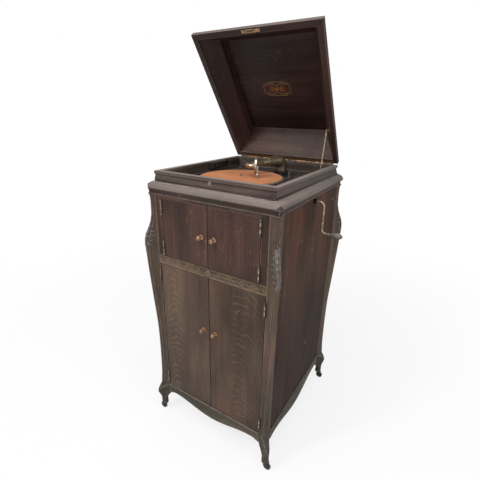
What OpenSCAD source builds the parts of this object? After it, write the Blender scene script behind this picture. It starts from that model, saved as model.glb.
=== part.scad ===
// Floor-standing gramophone cabinet with its lid open: swelled corner posts on cabriole feet,
// a canted cornice, two pairs of doors, a coved lid, and the playing gear, horn and spring motor inside.
// Left and right are seen from the front, which faces -Y. All sizes are in millimetres.

/* [Case] */
// Width across the side panels
case_w = 510; // [500:1:530]
// Depth from the front frame to the rear posts
case_d = 570; // [560:1:590]
// Thickness of the side panels
panel_t = 18; // [15:1:20]
// Thickness of the back panel
back_t = 8; // [5:1:10]
// Thickness of the front frame, the carved rail and the aprons
frame_t = 22; // [20:1:26]
// Thickness of the bottom board and the horn shelf
shelf_t = 18; // [15:1:22]
// Height of the top edge of the aprons above the floor
apron_top = 155; // [150:1:165]
// Drop of the front apron's lower edge in its middle and beside the posts
apron_front = [63, 35];
// Drop of a side apron's lower edge in its middle and beside the posts
apron_side = [76, 40];
// Drop of an apron where it meets a post
apron_foot = 45; // [42:1:48]
// Height of the lower record compartments, which clear a 12 inch record in its sleeve
record_h = 316; // [312:1:320]
// Height of the header rail over the upper doors
header_h = 9; // [8:1:14]
// Width of the stiles beside the upper doors
stile_w = 27; // [22:1:32]

/* [Posts and feet] */
// Width of a post along the front
post_w = 28; // [26:1:32]
// Width of a post along the side
post_d = 33; // [30:1:38]
// How far the corner of a post stands out at its swell
swell_out = 23; // [18:1:25]
// How far the corner of a post stands out at the knee
knee_out = 27; // [22:1:29]
// Radius of the ankle above the foot
ankle_r = 14; // [12:0.5:15]
// Depth of the leaf carved on the swell
leaf_relief = 2.4; // [0:0.2:3]
// Height of the turned pad under a foot
pad_h = 10; // [9:1:14]
// Radius of a caster wheel
wheel_r = 15; // [13:0.5:16]
// Width of a caster wheel
wheel_w = 12; // [10:1:14]
// Distance of the wheel's axle from the caster's swivel
caster_trail = 9; // [8:1:12]

/* [Doors] */
// Height of the lower doors
lower_door_h = 591; // [570:1:600]
// Height of the upper doors
upper_door_h = 216; // [200:1:222]
// Thickness of the doors
door_t = 20; // [18:1:21]
// Height of the carved rail between the doors
rail_h = 35; // [30:1:40]
// Height of the lower knobs above the doors' lower edge
lower_knob_up = 370; // [340:5:400]
// Gap above and below a door
door_gap = 2; // [1.5:0.5:3]
// Gap between a pair of doors
meeting_gap = 2.8; // [2.6:0.2:3.2]
// Radius of a door knob
knob_r = 8.5; // [7:0.5:10]
// Length of a door hinge
hinge_l = 56; // [45:1:60]
// Thickness of a hinge leaf
leaf_t = 1.1; // [0.8:0.1:1.2]
// Radius of a hinge barrel
barrel_r = 3.2; // [3:0.1:3.6]
// Radius of a hinge pin
pin_r = 1.5; // [1.2:0.1:1.8]

/* [Cornice and rim] */
// Height of the cornice moulding
cornice_h = 41; // [40:1:48]
// How far the nose of the cornice stands out past the side panels
nose_out = 12; // [8:1:12]
// Cut across each corner of the cornice
cornice_cant = 20; // [15:1:26]
// Height of the ledge inside the cornice that carries the motor board
ledge_h = 13; // [10:1:16]
// Width of that ledge
ledge_w = 15; // [12:1:20]
// Height of the rim over the cornice
rim_h = 37; // [34:1:44]
// How far the rim stands back from the side panels
rim_inset = 16; // [14:1:18]
// Thickness of the rim and of the lid's lower edge
rim_wall = 19; // [17:1:21]

/* [Lid] */
// Angle of the open lid above the closed one
lid_open = 54; // [40:1:54]
// Depth of the inside of the lid
lid_depth = 104; // [90:1:110]
// How far the inner slope of the lid leans in
lid_slope = 60; // [50:1:64]
// Height of the upright edge below the lid's cove
lid_edge_h = 18; // [14:1:22]
// Hollow of the lid's cove, from chord to bottom
cove_sag = 9; // [6:0.5:10]
// Thickness of the lid's top panel at its edge
top_panel_t = 9; // [7:1:12]
// Rise of the top panel's crown
crown_h = 6; // [3:1:8]
// Gap between the closed lid and the rim
lid_gap = 0.6; // [0.5:0.1:1]
// Distance of the stay's bracket from the lid's hinge
stay_at = 162; // [150:1:170]
// Length of the lid stay between its pivots
stay_l = 144; // [142:1:150]

/* [Turntable and motor board] */
// Thickness of the motor board
board_t = 19; // [16:1:22]
// Radius of the turntable platter
platter_r = 152.4; // [145:0.1:153]
// Height of the turntable platter
platter_h = 20; // [16:1:22]
// Thickness of the felt
felt_t = 2; // [1:0.5:3]
// Radius of the pin that a record drops over
record_pin_r = 3.6; // [3.5:0.05:3.6]
// Height of that pin above the felt
record_pin_h = 9; // [7:1:12]
// Place of the spindle behind the case's centre
spindle_y = -79; // [-85:1:-74]

/* [Tonearm] */
// Length of the tonearm from its pivot to the gooseneck's collar
arm_l = 165; // [155:1:170]
// Radius of the tonearm at its pivot
arm_r = 23; // [20:0.5:24]
// Radius of the tonearm at the gooseneck
arm_end_r = 9; // [8:0.5:10]
// Wall of the tonearm and the gooseneck
tube_wall = 1.55; // [1.2:0.05:1.8]
// Height of the tonearm's axis above the motor board
arm_h = 62; // [60:1:66]
// Radius of the soundbox
soundbox_r = 30; // [27:0.5:30]
// Thickness of the soundbox
soundbox_t = 13; // [11:0.5:14]

/* [Crank] */
// Radius of the crank rod
crank_r = 4.5; // [4:0.1:5]
// Throw of the crank
crank_throw = 111; // [95:1:120]
// How far the crank stands off the side panel
crank_off = 33; // [30:1:40]
// Length of the wooden grip
grip_l = 52; // [45:1:60]

/* [Motor] */
// Teeth of the barrel's great wheel
great_teeth = 84; // [72:1:96]
// Teeth of the spindle's pinion
pinion_teeth = 14; // [13:1:16]
// Teeth of the spindle's wheel
wheel_teeth = 84; // [72:1:96]
// Teeth of the governor's pinion
governor_teeth = 12; // [12:1:14]
// Distance of the governor from the spindle
governor_at = 48; // [46:1:50]
// Radius of the spring barrel
barrel_drum_r = 61; // [50:1:62]
// Height of the motor frame between its plates
motor_h = 91; // [91:1:94]
// Thickness of the motor frame's plates
plate_t = 5; // [4:1:6]

/* [Hidden] */
$fn = 48;

OAK = [0.23, 0.17, 0.14];
DARK_OAK = [0.15, 0.11, 0.10];
INNER_WOOD = [0.45, 0.33, 0.20];
BRASS = [0.62, 0.50, 0.30];
NICKEL = [0.62, 0.60, 0.55];
IRON = [0.12, 0.12, 0.12];
STEEL = [0.55, 0.56, 0.58];

fit = 0.05;      // radial clearance of a shaft in its bore
play = 0.3;      // clearance between pieces that move past each other
lip = 1;         // clearance round the motor board
long = 2000;     // longer than any piece, for cuts
middle = 400;    // reaches past the middle of the case from its outer faces
eps = 0.01;

// Case
side_x = case_w / 2;
face_y = case_d / 2;
inner_x = side_x - panel_t;
back_y = face_y - 2 - back_t;
frame_y = face_y - frame_t;
post_x = side_x - post_w;
post_y = face_y - post_d;
door_z = [apron_top + door_gap, apron_top + 3 * door_gap + lower_door_h + rail_h];
door_h = [lower_door_h, upper_door_h];
rail_z = door_z[0] + lower_door_h + door_gap;
header_z = door_z[1] + upper_door_h + door_gap;
case_top = header_z + header_h;
cornice_top = case_top + cornice_h;
rim_top = cornice_top + rim_h;
board_z = case_top + ledge_h;
board_top = board_z + board_t;
rim_x = side_x - rim_inset;
rim_y = face_y - rim_inset;
well_x = rim_x - rim_wall;
well_y = rim_y - rim_wall;

// Feet: the wheel stands on the floor, the fork turns under the pad, and the post stands on the pad
fork_gap = 2;
crown_t = 3;
crown_z = 2 * wheel_r + fork_gap;
stem_r = 4;
stem_h = pad_h - 2;
pad_z = crown_z + crown_t + play;
foot_z = pad_z + pad_h;
foot_u = 33.5;
foot_v = 38;
foot_x = post_x + foot_u;
foot_y = post_y + foot_v;

// Hinges: both leaves of a door hinge lie in the gap between the door and its frame
leaf_gap = 0.4;
hinge_gap = 2 * leaf_t + leaf_gap;
barrel_stand = barrel_r + play;
hinge_y = -(face_y + barrel_stand);
door_x = [post_x - hinge_gap, post_x - stile_w - hinge_gap];
hinge_x = [door_x[0] + hinge_gap / 2, door_x[1] + hinge_gap / 2];
leaf_w = 14;
hinge_in = [48, 32];     // from the ends of a lower and an upper door to the middle of a hinge
knob_z = [lower_knob_up, upper_door_h / 2];
knob_in = 26;

// Lid, drawn closed and turned about its hinge
lid_hinge_y = rim_y + barrel_stand;
lid_hinge_z = rim_top + lid_gap / 2;
lid_z = rim_top + lid_gap;
lid_leaf_t = 1.5;
lid_leaf_w = 13;
lid_hinge_l = 2 * well_x;
lid_knuckles = 11;

// Turntable
platter_z = board_top + 3;
felt_z = platter_z + platter_h;
felt_top = felt_z + felt_t;
spindle_r = 6;

// Motor
frame_top = board_z;
frame_bottom = frame_top - motor_h - 2 * plate_t;
winding_z = board_z - 27;
crank_x = side_x + crank_off;
barrel_y = 0;
great_module = 2 * (barrel_y - spindle_y) / (great_teeth + pinion_teeth);
governor_module = 2 * governor_at / (wheel_teeth + governor_teeth);
great_z = winding_z - 26;
wheel_z = winding_z + 6;
crown_r = 42;
crown_face = 8;
crown_teeth = 60;
winding_teeth = 16;
winding_module = 2 * crown_r / crown_teeth;
winding_r = winding_module * winding_teeth / 2;
arbor_r = 5;
governor_r = 3;
governor_dir = 213;
governor_p = [governor_at * cos(governor_dir), spindle_y + governor_at * sin(governor_dir)];

// Tonearm
arm_p = [45, 150];
arm_turn = -9.6;          // from straight forwards, positive to the right
arm_bend = 28;
arm_z = board_top + arm_h;
bracket_h = 20;
throat_r = 29;
throat_wall = 5;
throat_bend = 45;
throat_z = (header_z + rail_z + rail_h) / 2 - 45;
throat_y = arm_p[1] - throat_bend;
neck_r = arm_end_r - 1;
neck_l = 35;
neck_bend = 20;
neck_turn = 122;
box_stub = 5;

// ---------------------------------------------------------------- helpers

function lerp(a, b, t) = a + (b - a) * t;
function span_at(x, P, i = 0) = (i >= len(P) - 2 || x < P[i + 1][0]) ? i : span_at(x, P, i + 1);
function slope_at(P, i) =
  let (a = max(i - 1, 0), b = min(i + 1, len(P) - 1)) (P[b][1] - P[a][1]) / (P[b][0] - P[a][0]);
// Smooth curve through the points [x, y] of P
function smooth(x, P) =
  let (i = span_at(x, P), h = P[i + 1][0] - P[i][0], t = (x - P[i][0]) / h)
  (2 * t * t * t - 3 * t * t + 1) * P[i][1] + (t * t * t - 2 * t * t + t) * h * slope_at(P, i)
  + (3 * t * t - 2 * t * t * t) * P[i + 1][1] + (t * t * t - t * t) * h * slope_at(P, i + 1);
function ease(t) = let (s = min(max(t, 0), 1)) s * s * (3 - 2 * s);

// A board between two opposite corners
module board(low, high) {
  translate(low) cube(high - low);
}

module centred_board(half_x, half_y, z0, z1) {
  board([-half_x, -half_y, z0], [half_x, half_y, z1]);
}

module both_sides() {
  children();
  mirror([1, 0, 0]) children();
}

module front_and_rear() {
  children();
  mirror([0, 1, 0]) children();
}

module rod_x(x0, x1, y, z, r) {
  translate([x0, y, z]) rotate([0, 90, 0]) cylinder(h = x1 - x0, r = r);
}

module ring(r, bore) {
  difference() {
    circle(r = r);
    circle(r = bore);
  }
}

// Solid with one moulded profile on all four sides: children() draws the profile's half
// section in [x, z], x being measured outwards from the nominal half width
module moulded_block(half_x, half_y) {
  intersection() {
    rotate([90, 0, 0]) linear_extrude(long, center = true) full_section(half_x) children();
    rotate([90, 0, 90]) linear_extrude(long, center = true) full_section(half_y) children();
  }
}

module full_section(half) {
  translate([half, 0]) children();
  mirror([1, 0]) translate([half, 0]) children();
}

// Polyhedron through rings of points, all with the same number of points
module loft(rings) {
  n = len(rings[0]);
  m = len(rings);
  polyhedron(
    points = [for (r = rings) for (p = r) p],
    faces = concat(
      [[for (j = [0 : n - 1]) j]],
      [for (i = [0 : m - 2]) for (j = [0 : n - 1])
        [i * n + j, (i + 1) * n + j, i * n + (j + 1) % n]],
      [for (i = [0 : m - 2]) for (j = [0 : n - 1])
        [i * n + (j + 1) % n, (i + 1) * n + j, (i + 1) * n + (j + 1) % n]],
      [[for (j = [n - 1 : -1 : 0]) (m - 1) * n + j]]
    )
  );
}

// Open tube through rings: the outer wall up, then the inner wall back down
module loft_tube(outer, inner) {
  n = len(outer[0]);
  m = len(outer);
  rings = concat(outer, [for (i = [m - 1 : -1 : 0]) inner[i]]);
  k = len(rings);
  polyhedron(
    points = [for (r = rings) for (p = r) p],
    faces = concat(
      [for (i = [0 : k - 1]) for (j = [0 : n - 1])
        [i * n + j, i * n + (j + 1) % n, ((i + 1) % k) * n + j]],
      [for (i = [0 : k - 1]) for (j = [0 : n - 1])
        [i * n + (j + 1) % n, ((i + 1) % k) * n + (j + 1) % n, ((i + 1) % k) * n + j]]
    )
  );
}

// Spur gear of straight-flanked teeth round Z, with a tooth towards +X when turn is 0
module gear(teeth, mod, h, turn = 0) {
  pitch = mod * teeth / 2;
  root = pitch - 1.3 * mod;
  tip = pitch + 0.85 * mod;
  step = 360 / teeth;
  rotate(turn) linear_extrude(h) polygon([for (i = [0 : teeth - 1]) each [
    for (c = [[root, -0.30], [tip, -0.11], [tip, 0.11], [root, 0.30]])
      c[0] * [cos(step * (i + c[1])), sin(step * (i + c[1]))]
  ]]);
}

// ---------------------------------------------------------------- posts

arc_steps = 8;
knee_z = apron_top - 45;
leaf_z = [rail_z - 110, rail_z + 140];

// How far the post's corner stands out, from the foot to the apron and from there to the cornice
leg_out = [[0, 20], [0.15, 20], [0.42, 25.5], [0.6, knee_out], [0.85, 20], [1, 14]];
shaft_out = [[0, 14], [0.09, 10], [0.33, 9], [0.52, 15.5], [0.68, 21.5], [0.75, swell_out],
  [0.79, swell_out - 0.5], [0.82, 18.5], [0.845, 12], [0.88, 4.5], [0.92, 2], [0.985, 2], [1, 5]];

function post_out(z) =
  z < apron_top ? smooth((z - foot_z) / (apron_top - foot_z), leg_out)
                : smooth((z - apron_top) / (case_top - apron_top), shaft_out);

// Veins of the carved leaf: chevrons that run down and outwards from the corner's midrib
function leaf_cut(z, a) =
  let (s = (z - leaf_z[0]) / (leaf_z[1] - leaf_z[0]))
  (s <= 0 || s >= 1) ? 0
    : leaf_relief * sin(180 * s) * (cos(360 * (z / 42 + abs(a) * 0.9)) - (abs(a) < 0.1 ? -0.6 : 0.4));

function corner_ring(z) =
  let (
    out = post_out(z),
    r = 10,
    k = 1 - ease((z - foot_z - 18) / (knee_z - foot_z - 18)),
    flat = 5,
    square = concat(
      [[0, 0], [post_w, 0], [post_w, flat]],
      [for (i = [0 : arc_steps])
        let (a = 90 * i / arc_steps, d = r + leaf_cut(z, 2 * i / arc_steps - 1))
        [post_w + out - r + d * cos(a), post_d + out - r + d * sin(a)]],
      [[flat, post_d], [0, post_d]]
    ),
    angles = concat([225, 300, 330], [for (i = [0 : arc_steps]) 90 * i / arc_steps], [120, 150])
  )
  [for (j = [0 : len(square) - 1])
    let (c = [foot_u, foot_v] + ankle_r * [cos(angles[j]), sin(angles[j])])
    [post_x + lerp(square[j][0], c[0], k), post_y + lerp(square[j][1], c[1], k), z]];

post_levels = concat(
  [for (i = [0 : 13]) lerp(foot_z, apron_top, i / 14)],
  [for (i = [0 : 8]) lerp(apron_top, leaf_z[0], i / 9)],
  [for (i = [0 : 29]) lerp(leaf_z[0], leaf_z[1], i / 30)],
  [for (i = [0 : 7]) lerp(leaf_z[1], case_top, i / 8)],
  [case_top - 4, case_top]
);

// Rear right post with the turned pad that holds the caster's stem
module post() {
  loft([for (z = post_levels) corner_ring(z)]);
  translate([foot_x, foot_y, pad_z]) difference() {
    union() {
      cylinder(h = pad_h, r = ankle_r - 1);
      translate([0, 0, 2]) cylinder(h = pad_h - 4, r = ankle_r);
    }
    translate([0, 0, -eps]) cylinder(h = stem_h + eps + play, r = stem_r + fit);
  }
}

module front_posts() {
  color(OAK) both_sides() mirror([0, 1, 0]) post();
}

module rear_posts() {
  color(OAK) both_sides() post();
}

// ---------------------------------------------------------------- case

module side_panels() {
  color(OAK) difference() {
    both_sides() board([inner_x, -post_y, apron_top], [side_x, post_y, case_top]);
    rod_x(0, side_x + eps, barrel_y, winding_z, crank_r + 4);
  }
}

module back_panel() {
  color(OAK) board([-post_x, back_y, apron_top], [post_x, back_y + back_t, case_top]);
}

module front_frame() {
  color(OAK) {
    board([-post_x, -face_y, header_z], [post_x, -frame_y, case_top]);
    both_sides() board([post_x - stile_w, -face_y, rail_z + rail_h], [post_x, -frame_y, header_z]);
  }
}

// Rail between the doors, with a bead along both edges, a rosette and low scrolls
module carved_rail() {
  bead = 2;
  rosette_r = 10;
  scroll_at = post_x / 5;
  color(OAK) {
    board([-post_x, -face_y, rail_z], [post_x, -frame_y, rail_z + rail_h]);
    for (z = [rail_z + bead, rail_z + rail_h - bead]) rod_x(-post_x, post_x, -face_y, z, bead);
    translate([0, -face_y, rail_z + rail_h / 2]) rotate([90, 0, 0]) {
      cylinder(h = 2, r = rosette_r);
      cylinder(h = 5, r = rosette_r * 0.45);
      for (a = [0 : 45 : 315]) rotate(a) translate([rosette_r * 0.66, 0, 0]) cylinder(h = 3.2, r = 2.6);
    }
    for (s = [-1, 1], i = [1 : 4])
      translate([s * i * scroll_at, -face_y, rail_z + rail_h / 2]) rotate([90, 0, 0])
        rotate(s * (i % 2 == 0 ? 30 : -30)) difference() {
          cylinder(h = 1.6, r = rail_h * 0.27);
          translate([rail_h * 0.08, 0, -1]) cylinder(h = 4, r = rail_h * 0.14);
        }
  }
}

// Depth of an apron's lower edge below its top, s running from 0 in the middle to 1 at the post
function apron_drop(s, mid, end, foot) =
  s < 0.86 ? end + (mid - end) * (0.5 + 0.5 * cos(180 * s / 0.86)) : lerp(end, foot, ease((s - 0.86) / 0.14));

module apron(half, mid, end, foot, t) {
  steps = 36;
  rotate([90, 0, 0]) translate([0, apron_top, -t / 2]) linear_extrude(t) polygon(concat(
    [[half, 0], [-half, 0]],
    [for (i = [0 : steps]) let (x = lerp(-half, half, i / steps))
      [x, -apron_drop(abs(x) / half, mid, end, foot)]]
  ));
}

module aprons() {
  proud = 2;
  bead = 3;
  bead_z = apron_top - bead - 1;
  t = frame_t + proud;
  side_t = panel_t + proud;
  color(OAK) {
    translate([0, -(face_y + proud) + t / 2, 0]) apron(post_x, apron_front[0], apron_front[1], apron_foot, t);
    rod_x(-post_x, post_x, -(face_y + proud), bead_z, bead);
    both_sides() translate([side_x + proud - side_t / 2, 0, 0]) {
      rotate(90) apron(post_y, apron_side[0], apron_side[1], apron_foot, side_t);
      translate([side_t / 2, 0, bead_z]) rotate([90, 0, 0]) cylinder(h = 2 * post_y, r = bead, center = true);
    }
    board([-post_x, back_y, apron_top - 60], [post_x, back_y + back_t, apron_top]);
  }
}

// A board that fills the case between the front frame and the back panel, notched round the posts
module case_board(z) {
  difference() {
    board([-inner_x, -frame_y, z], [inner_x, back_y, z + shelf_t]);
    both_sides() front_and_rear() board([post_x, post_y, z - 1], [side_x, face_y, z + shelf_t + 1]);
  }
}

module bottom_board() {
  color(INNER_WOOD) case_board(apron_top - shelf_t);
}

module horn_shelf() {
  color(INNER_WOOD) case_board(rail_z + rail_h - shelf_t);
}

// Record rack: a shelf and upright dividers whose front edges are scooped for a hand
rack_t = 8;
rack_slots = 5;
rack_pitch = 2 * inner_x / rack_slots;
rack_front = -frame_y + 20;
rack_top = rail_z + rail_h - shelf_t;
rack_low = apron_top + record_h;    // the row above takes the smaller records

module record_rack() {
  color(INNER_WOOD) difference() {
    union() {
      board([-inner_x, rack_front, rack_low], [inner_x, post_y, rack_low + rack_t]);
      for (i = [1 : rack_slots - 1]) translate([-inner_x + i * rack_pitch, 0, 0])
        board([-rack_t / 2, rack_front, apron_top], [rack_t / 2, post_y, rack_top]);
    }
    for (z = [(apron_top + rack_low) / 2, (rack_low + rack_t + rack_top) / 2])
      rod_x(-inner_x, inner_x, rack_front, z, 60);
  }
}

// ---------------------------------------------------------------- cornice, rim and motor board

// Half section of the cornice: cavetto, nose, ovolo and step
module cornice_profile() {
  cavetto = 9;
  nose_h = 9;
  ovolo_z = case_top + cavetto + 6 + nose_h;
  rise = cornice_top - 3 - ovolo_z;
  difference() {
    union() {
      translate([-middle, case_top]) square([middle + nose_out, ovolo_z - case_top]);
      translate([-middle, ovolo_z - 1]) square([middle - 4, cornice_top - ovolo_z + 1]);
      translate([-middle, ovolo_z - 1]) square([middle - 1, rise + 1]);
      intersection() {
        translate([-1, ovolo_z - 1]) square([nose_out + 1, rise + 1]);
        translate([-1, ovolo_z - 1]) circle(r = rise + 1);
      }
    }
    translate([nose_out + 1, case_top]) circle(r = cavetto);
  }
}

module cornice() {
  nose_x = side_x + nose_out;
  nose_y = face_y + nose_out;
  color(OAK) difference() {
    moulded_block(side_x, face_y) cornice_profile();
    for (a = [45, 135, 225, 315]) rotate(a)
      board([(nose_x + nose_y - cornice_cant) / sqrt(2), -long / 4, case_top - 1], [long, long / 4, cornice_top + 1]);
    centred_board(well_x, well_y, board_z, cornice_top + 1);
    centred_board(well_x - ledge_w, well_y - ledge_w, case_top - 1, board_z + 1);
  }
}

// Half section of the rim: two beads at the top, a tall neck and a cove that spreads to the cornice
module rim_profile() {
  bead = 2.4;
  neck = 2.5;
  cove = 12;
  difference() {
    union() {
      translate([-middle, cornice_top]) square([middle - neck, rim_h]);
      translate([-bead, rim_top - bead]) circle(r = bead);
      translate([-middle, rim_top - 2 * bead]) square([middle - bead, 2 * bead]);
      translate([-bead - 0.8, rim_top - 2.6 * bead]) circle(r = bead);
      translate([-neck - 1, cornice_top]) square([cove + 1, cove + 1.5]);
    }
    translate([cove - neck + 1.5, cornice_top + cove + 2]) circle(r = cove + 1);
    translate([-neck, cornice_top + cove + 1]) square([cove + 4, 4]);
  }
}

// Lid lock's plate, let into the rim's front
module key_plate(t, grow = 0) {
  neck = 2.5;
  translate([0, -(rim_y - neck), rim_top - 21]) rotate([90, 0, 0]) linear_extrude(t) offset(delta = grow) union() {
    square([13, 10], center = true);
    for (s = [-1, 1]) translate([0, s * 4]) circle(r = 6.5);
  }
}

module top_rim() {
  color(OAK) difference() {
    moulded_block(rim_x, rim_y) rim_profile();
    centred_board(well_x, well_y, cornice_top - 1, rim_top + 1);
    board([-lid_hinge_l / 2, rim_y - lid_leaf_w, rim_top - lid_leaf_t], [lid_hinge_l / 2, rim_y + 1, rim_top + 1]);
    key_plate(20, play);
  }
}

brake_p = [112, 82];
dial_p = [well_x - 42, -(well_y - 38)];
small_pin_r = 3;

module motor_board() {
  color(DARK_OAK) difference() {
    centred_board(well_x - lip, well_y - lip, board_z, board_top);
    translate([0, spindle_y, board_z - 1]) cylinder(h = board_t + 2, r = spindle_r + 6);
    translate([arm_p[0], arm_p[1], board_z - 1]) cylinder(h = board_t + 2, r = throat_r - throat_wall);
    for (p = [brake_p, dial_p]) translate([p[0], p[1], board_z - 1])
      cylinder(h = board_t + 2, r = small_pin_r + fit);
  }
}

// ---------------------------------------------------------------- horn

horn_wall = 8;
horn_mouth = [post_x - 39, (header_z - rail_z - rail_h) / 2 - 10];
horn_mouth_z = (header_z + rail_z + rail_h) / 2;
horn_front = -frame_y;
horn_end_r = throat_r - throat_wall;

// Ring of the horn at s, from 0 at the mouth to 1 at the throat: a rounded rectangle that turns round
function horn_ring(s, wall) =
  let (
    w = lerp(horn_end_r, horn_mouth[0], pow(1 - s, 1.7)) + wall,
    h = lerp(horn_end_r, horn_mouth[1], pow(1 - s, 2.6)) + wall,
    z = lerp(throat_z, horn_mouth_z, pow(1 - s, 4)),
    x = arm_p[0] * ease(s),
    power = lerp(8, 2, ease(s * 1.05))
  )
  [for (a = [7.5 : 15 : 352.5])
    let (c = cos(a), d = sin(a), q = pow(pow(abs(c), power) + pow(abs(d), power), -1 / power))
    [x + w * q * c, lerp(horn_front, throat_y, s), z + h * q * d]];

// Tapered wooden horn with a flange that closes the front frame's opening round its mouth
module horn() {
  steps = 12;
  flange_t = 8;
  color(INNER_WOOD) {
    loft_tube(
      [for (i = [0 : steps]) horn_ring(i / steps, horn_wall * (1 - 0.4 * i / steps))],
      [for (i = [0 : steps]) horn_ring(i / steps, 0)]
    );
    translate([0, horn_front + flange_t, 0]) rotate([90, 0, 0]) linear_extrude(flange_t) difference() {
      translate([-post_x + 12, rail_z + rail_h]) square([2 * (post_x - 12), case_top - 2 - rail_z - rail_h]);
      polygon([for (p = horn_ring(0, horn_wall / 2)) [p[0], p[2]]]);
    }
  }
}

// Cast elbow from the motor board down and forwards to the horn, with a flange under the board
module horn_throat() {
  flange_t = 4;
  bend_z = throat_z + throat_bend;
  color(IRON) {
    translate([arm_p[0], arm_p[1], board_z - flange_t]) linear_extrude(flange_t) ring(throat_r + 8, throat_r - throat_wall);
    translate([arm_p[0], arm_p[1], bend_z]) linear_extrude(board_z - flange_t - bend_z) ring(throat_r, throat_r - throat_wall);
    translate([arm_p[0], throat_y, bend_z]) rotate([90, 0, 90])
      rotate_extrude(angle = 90, start = 270) translate([throat_bend, 0]) ring(throat_r, throat_r - throat_wall);
  }
}

// ---------------------------------------------------------------- hinges

// Knuckles along +Z, every second one, with the tab that joins them to a leaf lying towards +Y
module knuckles(length, count, first, side, t, reach) {
  pitch = length / count;
  difference() {
    for (i = [first : 2 : count - 1]) translate([0, 0, i * pitch + play / 2]) {
      cylinder(h = pitch - play, r = barrel_r);
      board([side > 0 ? leaf_gap / 2 : -leaf_gap / 2 - t, 0, 0],
            [side > 0 ? leaf_gap / 2 + t : -leaf_gap / 2, reach, pitch - play]);
    }
    translate([0, 0, -1]) cylinder(h = length + 2, r = pin_r + fit);
  }
}

// Leaf of a right-hand door hinge at the origin of its pin: side 1 on the frame, -1 on the door
module door_leaf(side) {
  translate([0, 0, -hinge_l / 2]) {
    knuckles(hinge_l, 5, side > 0 ? 0 : 1, side, leaf_t, barrel_stand + 1);
    board([side > 0 ? leaf_gap / 2 : -leaf_gap / 2 - leaf_t, barrel_stand, 0],
          [side > 0 ? leaf_gap / 2 + leaf_t : -leaf_gap / 2, barrel_stand + leaf_w, hinge_l]);
  }
}

// Puts its child at both hinges of the right-hand door: level 0 is the lower pair of doors, 1 the upper
module at_hinges(level) {
  for (z = [door_z[level] + hinge_in[level], door_z[level] + door_h[level] - hinge_in[level]])
    translate([hinge_x[level], hinge_y, z]) children();
}

// Leaf of the continuous lid hinge, drawn closed: side -1 on the rim, 1 on the lid
module lid_leaf(side) {
  z0 = side > 0 ? lid_z : rim_top - lid_leaf_t;
  board([-lid_hinge_l / 2, rim_y - lid_leaf_w, z0], [lid_hinge_l / 2, rim_y, z0 + lid_leaf_t]);
  translate([-lid_hinge_l / 2, lid_hinge_y, lid_hinge_z]) rotate([0, 90, 0]) rotate(180) difference() {
    pitch = lid_hinge_l / lid_knuckles;
    union() {
      for (i = [side > 0 ? 1 : 0 : 2 : lid_knuckles - 1]) translate([0, 0, i * pitch + play / 2]) {
        cylinder(h = pitch - play, r = barrel_r);
        board([side > 0 ? lid_gap / 2 : -lid_gap / 2 - lid_leaf_t, 0, 0],
              [side > 0 ? lid_gap / 2 + lid_leaf_t : -lid_gap / 2, barrel_stand + 1, pitch - play]);
      }
    }
    translate([0, 0, -1]) cylinder(h = lid_hinge_l + 2, r = pin_r + fit);
  }
}

module fixed_hinge_leaves() {
  color(BRASS) {
    both_sides() for (level = [0, 1]) at_hinges(level) door_leaf(1);
    lid_leaf(-1);
  }
}

module hinge_pins() {
  color(STEEL) {
    both_sides() for (level = [0, 1]) at_hinges(level) cylinder(h = hinge_l, r = pin_r, center = true);
    rod_x(-lid_hinge_l / 2, lid_hinge_l / 2, lid_hinge_y, lid_hinge_z, pin_r);
  }
}

// ---------------------------------------------------------------- doors

// Right-hand door with its edges eased all round the front
module door(level) {
  ease_r = 1.5;
  z0 = door_z[level];
  color(OAK) difference() {
    board([meeting_gap / 2, -face_y, z0], [door_x[level], -face_y + door_t, z0 + door_h[level]]);
    for (x = [meeting_gap / 2, door_x[level]])
      translate([x, -face_y, z0]) rotate(45) cube([ease_r, ease_r, 3 * door_h[level]], center = true);
    for (z = [z0, z0 + door_h[level]])
      translate([0, -face_y, z]) rotate([45, 0, 0]) cube([3 * case_w, ease_r, ease_r], center = true);
  }
}

// Turned knob on its rosette, at the meeting edge of the right-hand door
module knob(level) {
  color(BRASS) translate([knob_in, -face_y, door_z[level] + knob_z[level]]) rotate([90, 0, 0])
    rotate_extrude() polygon(concat(
      [[0, 0], [9, 0], [9, 1.2], [6.5, 2.6], [4, 3.4], [3.4, 7], [4.6, 9.5]],
      [for (a = [-45 : 15 : 90]) [knob_r * cos(a), 15.5 + knob_r * 0.72 * sin(a)]]
    ));
}

module door_hinges(level) {
  color(BRASS) at_hinges(level) door_leaf(-1);
}

module upper_left_door() { mirror([1, 0, 0]) door(1); }
module upper_right_door() { door(1); }
module lower_left_door() { mirror([1, 0, 0]) door(0); }
module lower_right_door() { door(0); }
module upper_left_knob() { mirror([1, 0, 0]) knob(1); }
module upper_right_knob() { knob(1); }
module lower_left_knob() { mirror([1, 0, 0]) knob(0); }
module lower_right_knob() { knob(0); }
module upper_left_hinges() { mirror([1, 0, 0]) door_hinges(1); }
module upper_right_hinges() { door_hinges(1); }
module lower_left_hinges() { mirror([1, 0, 0]) door_hinges(0); }
module lower_right_hinges() { door_hinges(0); }

// ---------------------------------------------------------------- lid

module opened_lid() {
  translate([0, lid_hinge_y, lid_hinge_z]) rotate([-lid_open, 0, 0])
    translate([0, -lid_hinge_y, -lid_hinge_z]) children();
}

cove_start = [6, lid_edge_h + 2];
cove_end = [lid_slope - 4, lid_depth];
cove_chord = norm(cove_end - cove_start);
cove_r = (cove_chord * cove_chord / 4 + cove_sag * cove_sag) / (2 * cove_sag);
cove_n = [-(cove_end - cove_start)[1], (cove_end - cove_start)[0]] / cove_chord;
cove_c = (cove_start + cove_end) / 2 + cove_n * (cove_r - cove_sag);

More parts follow.
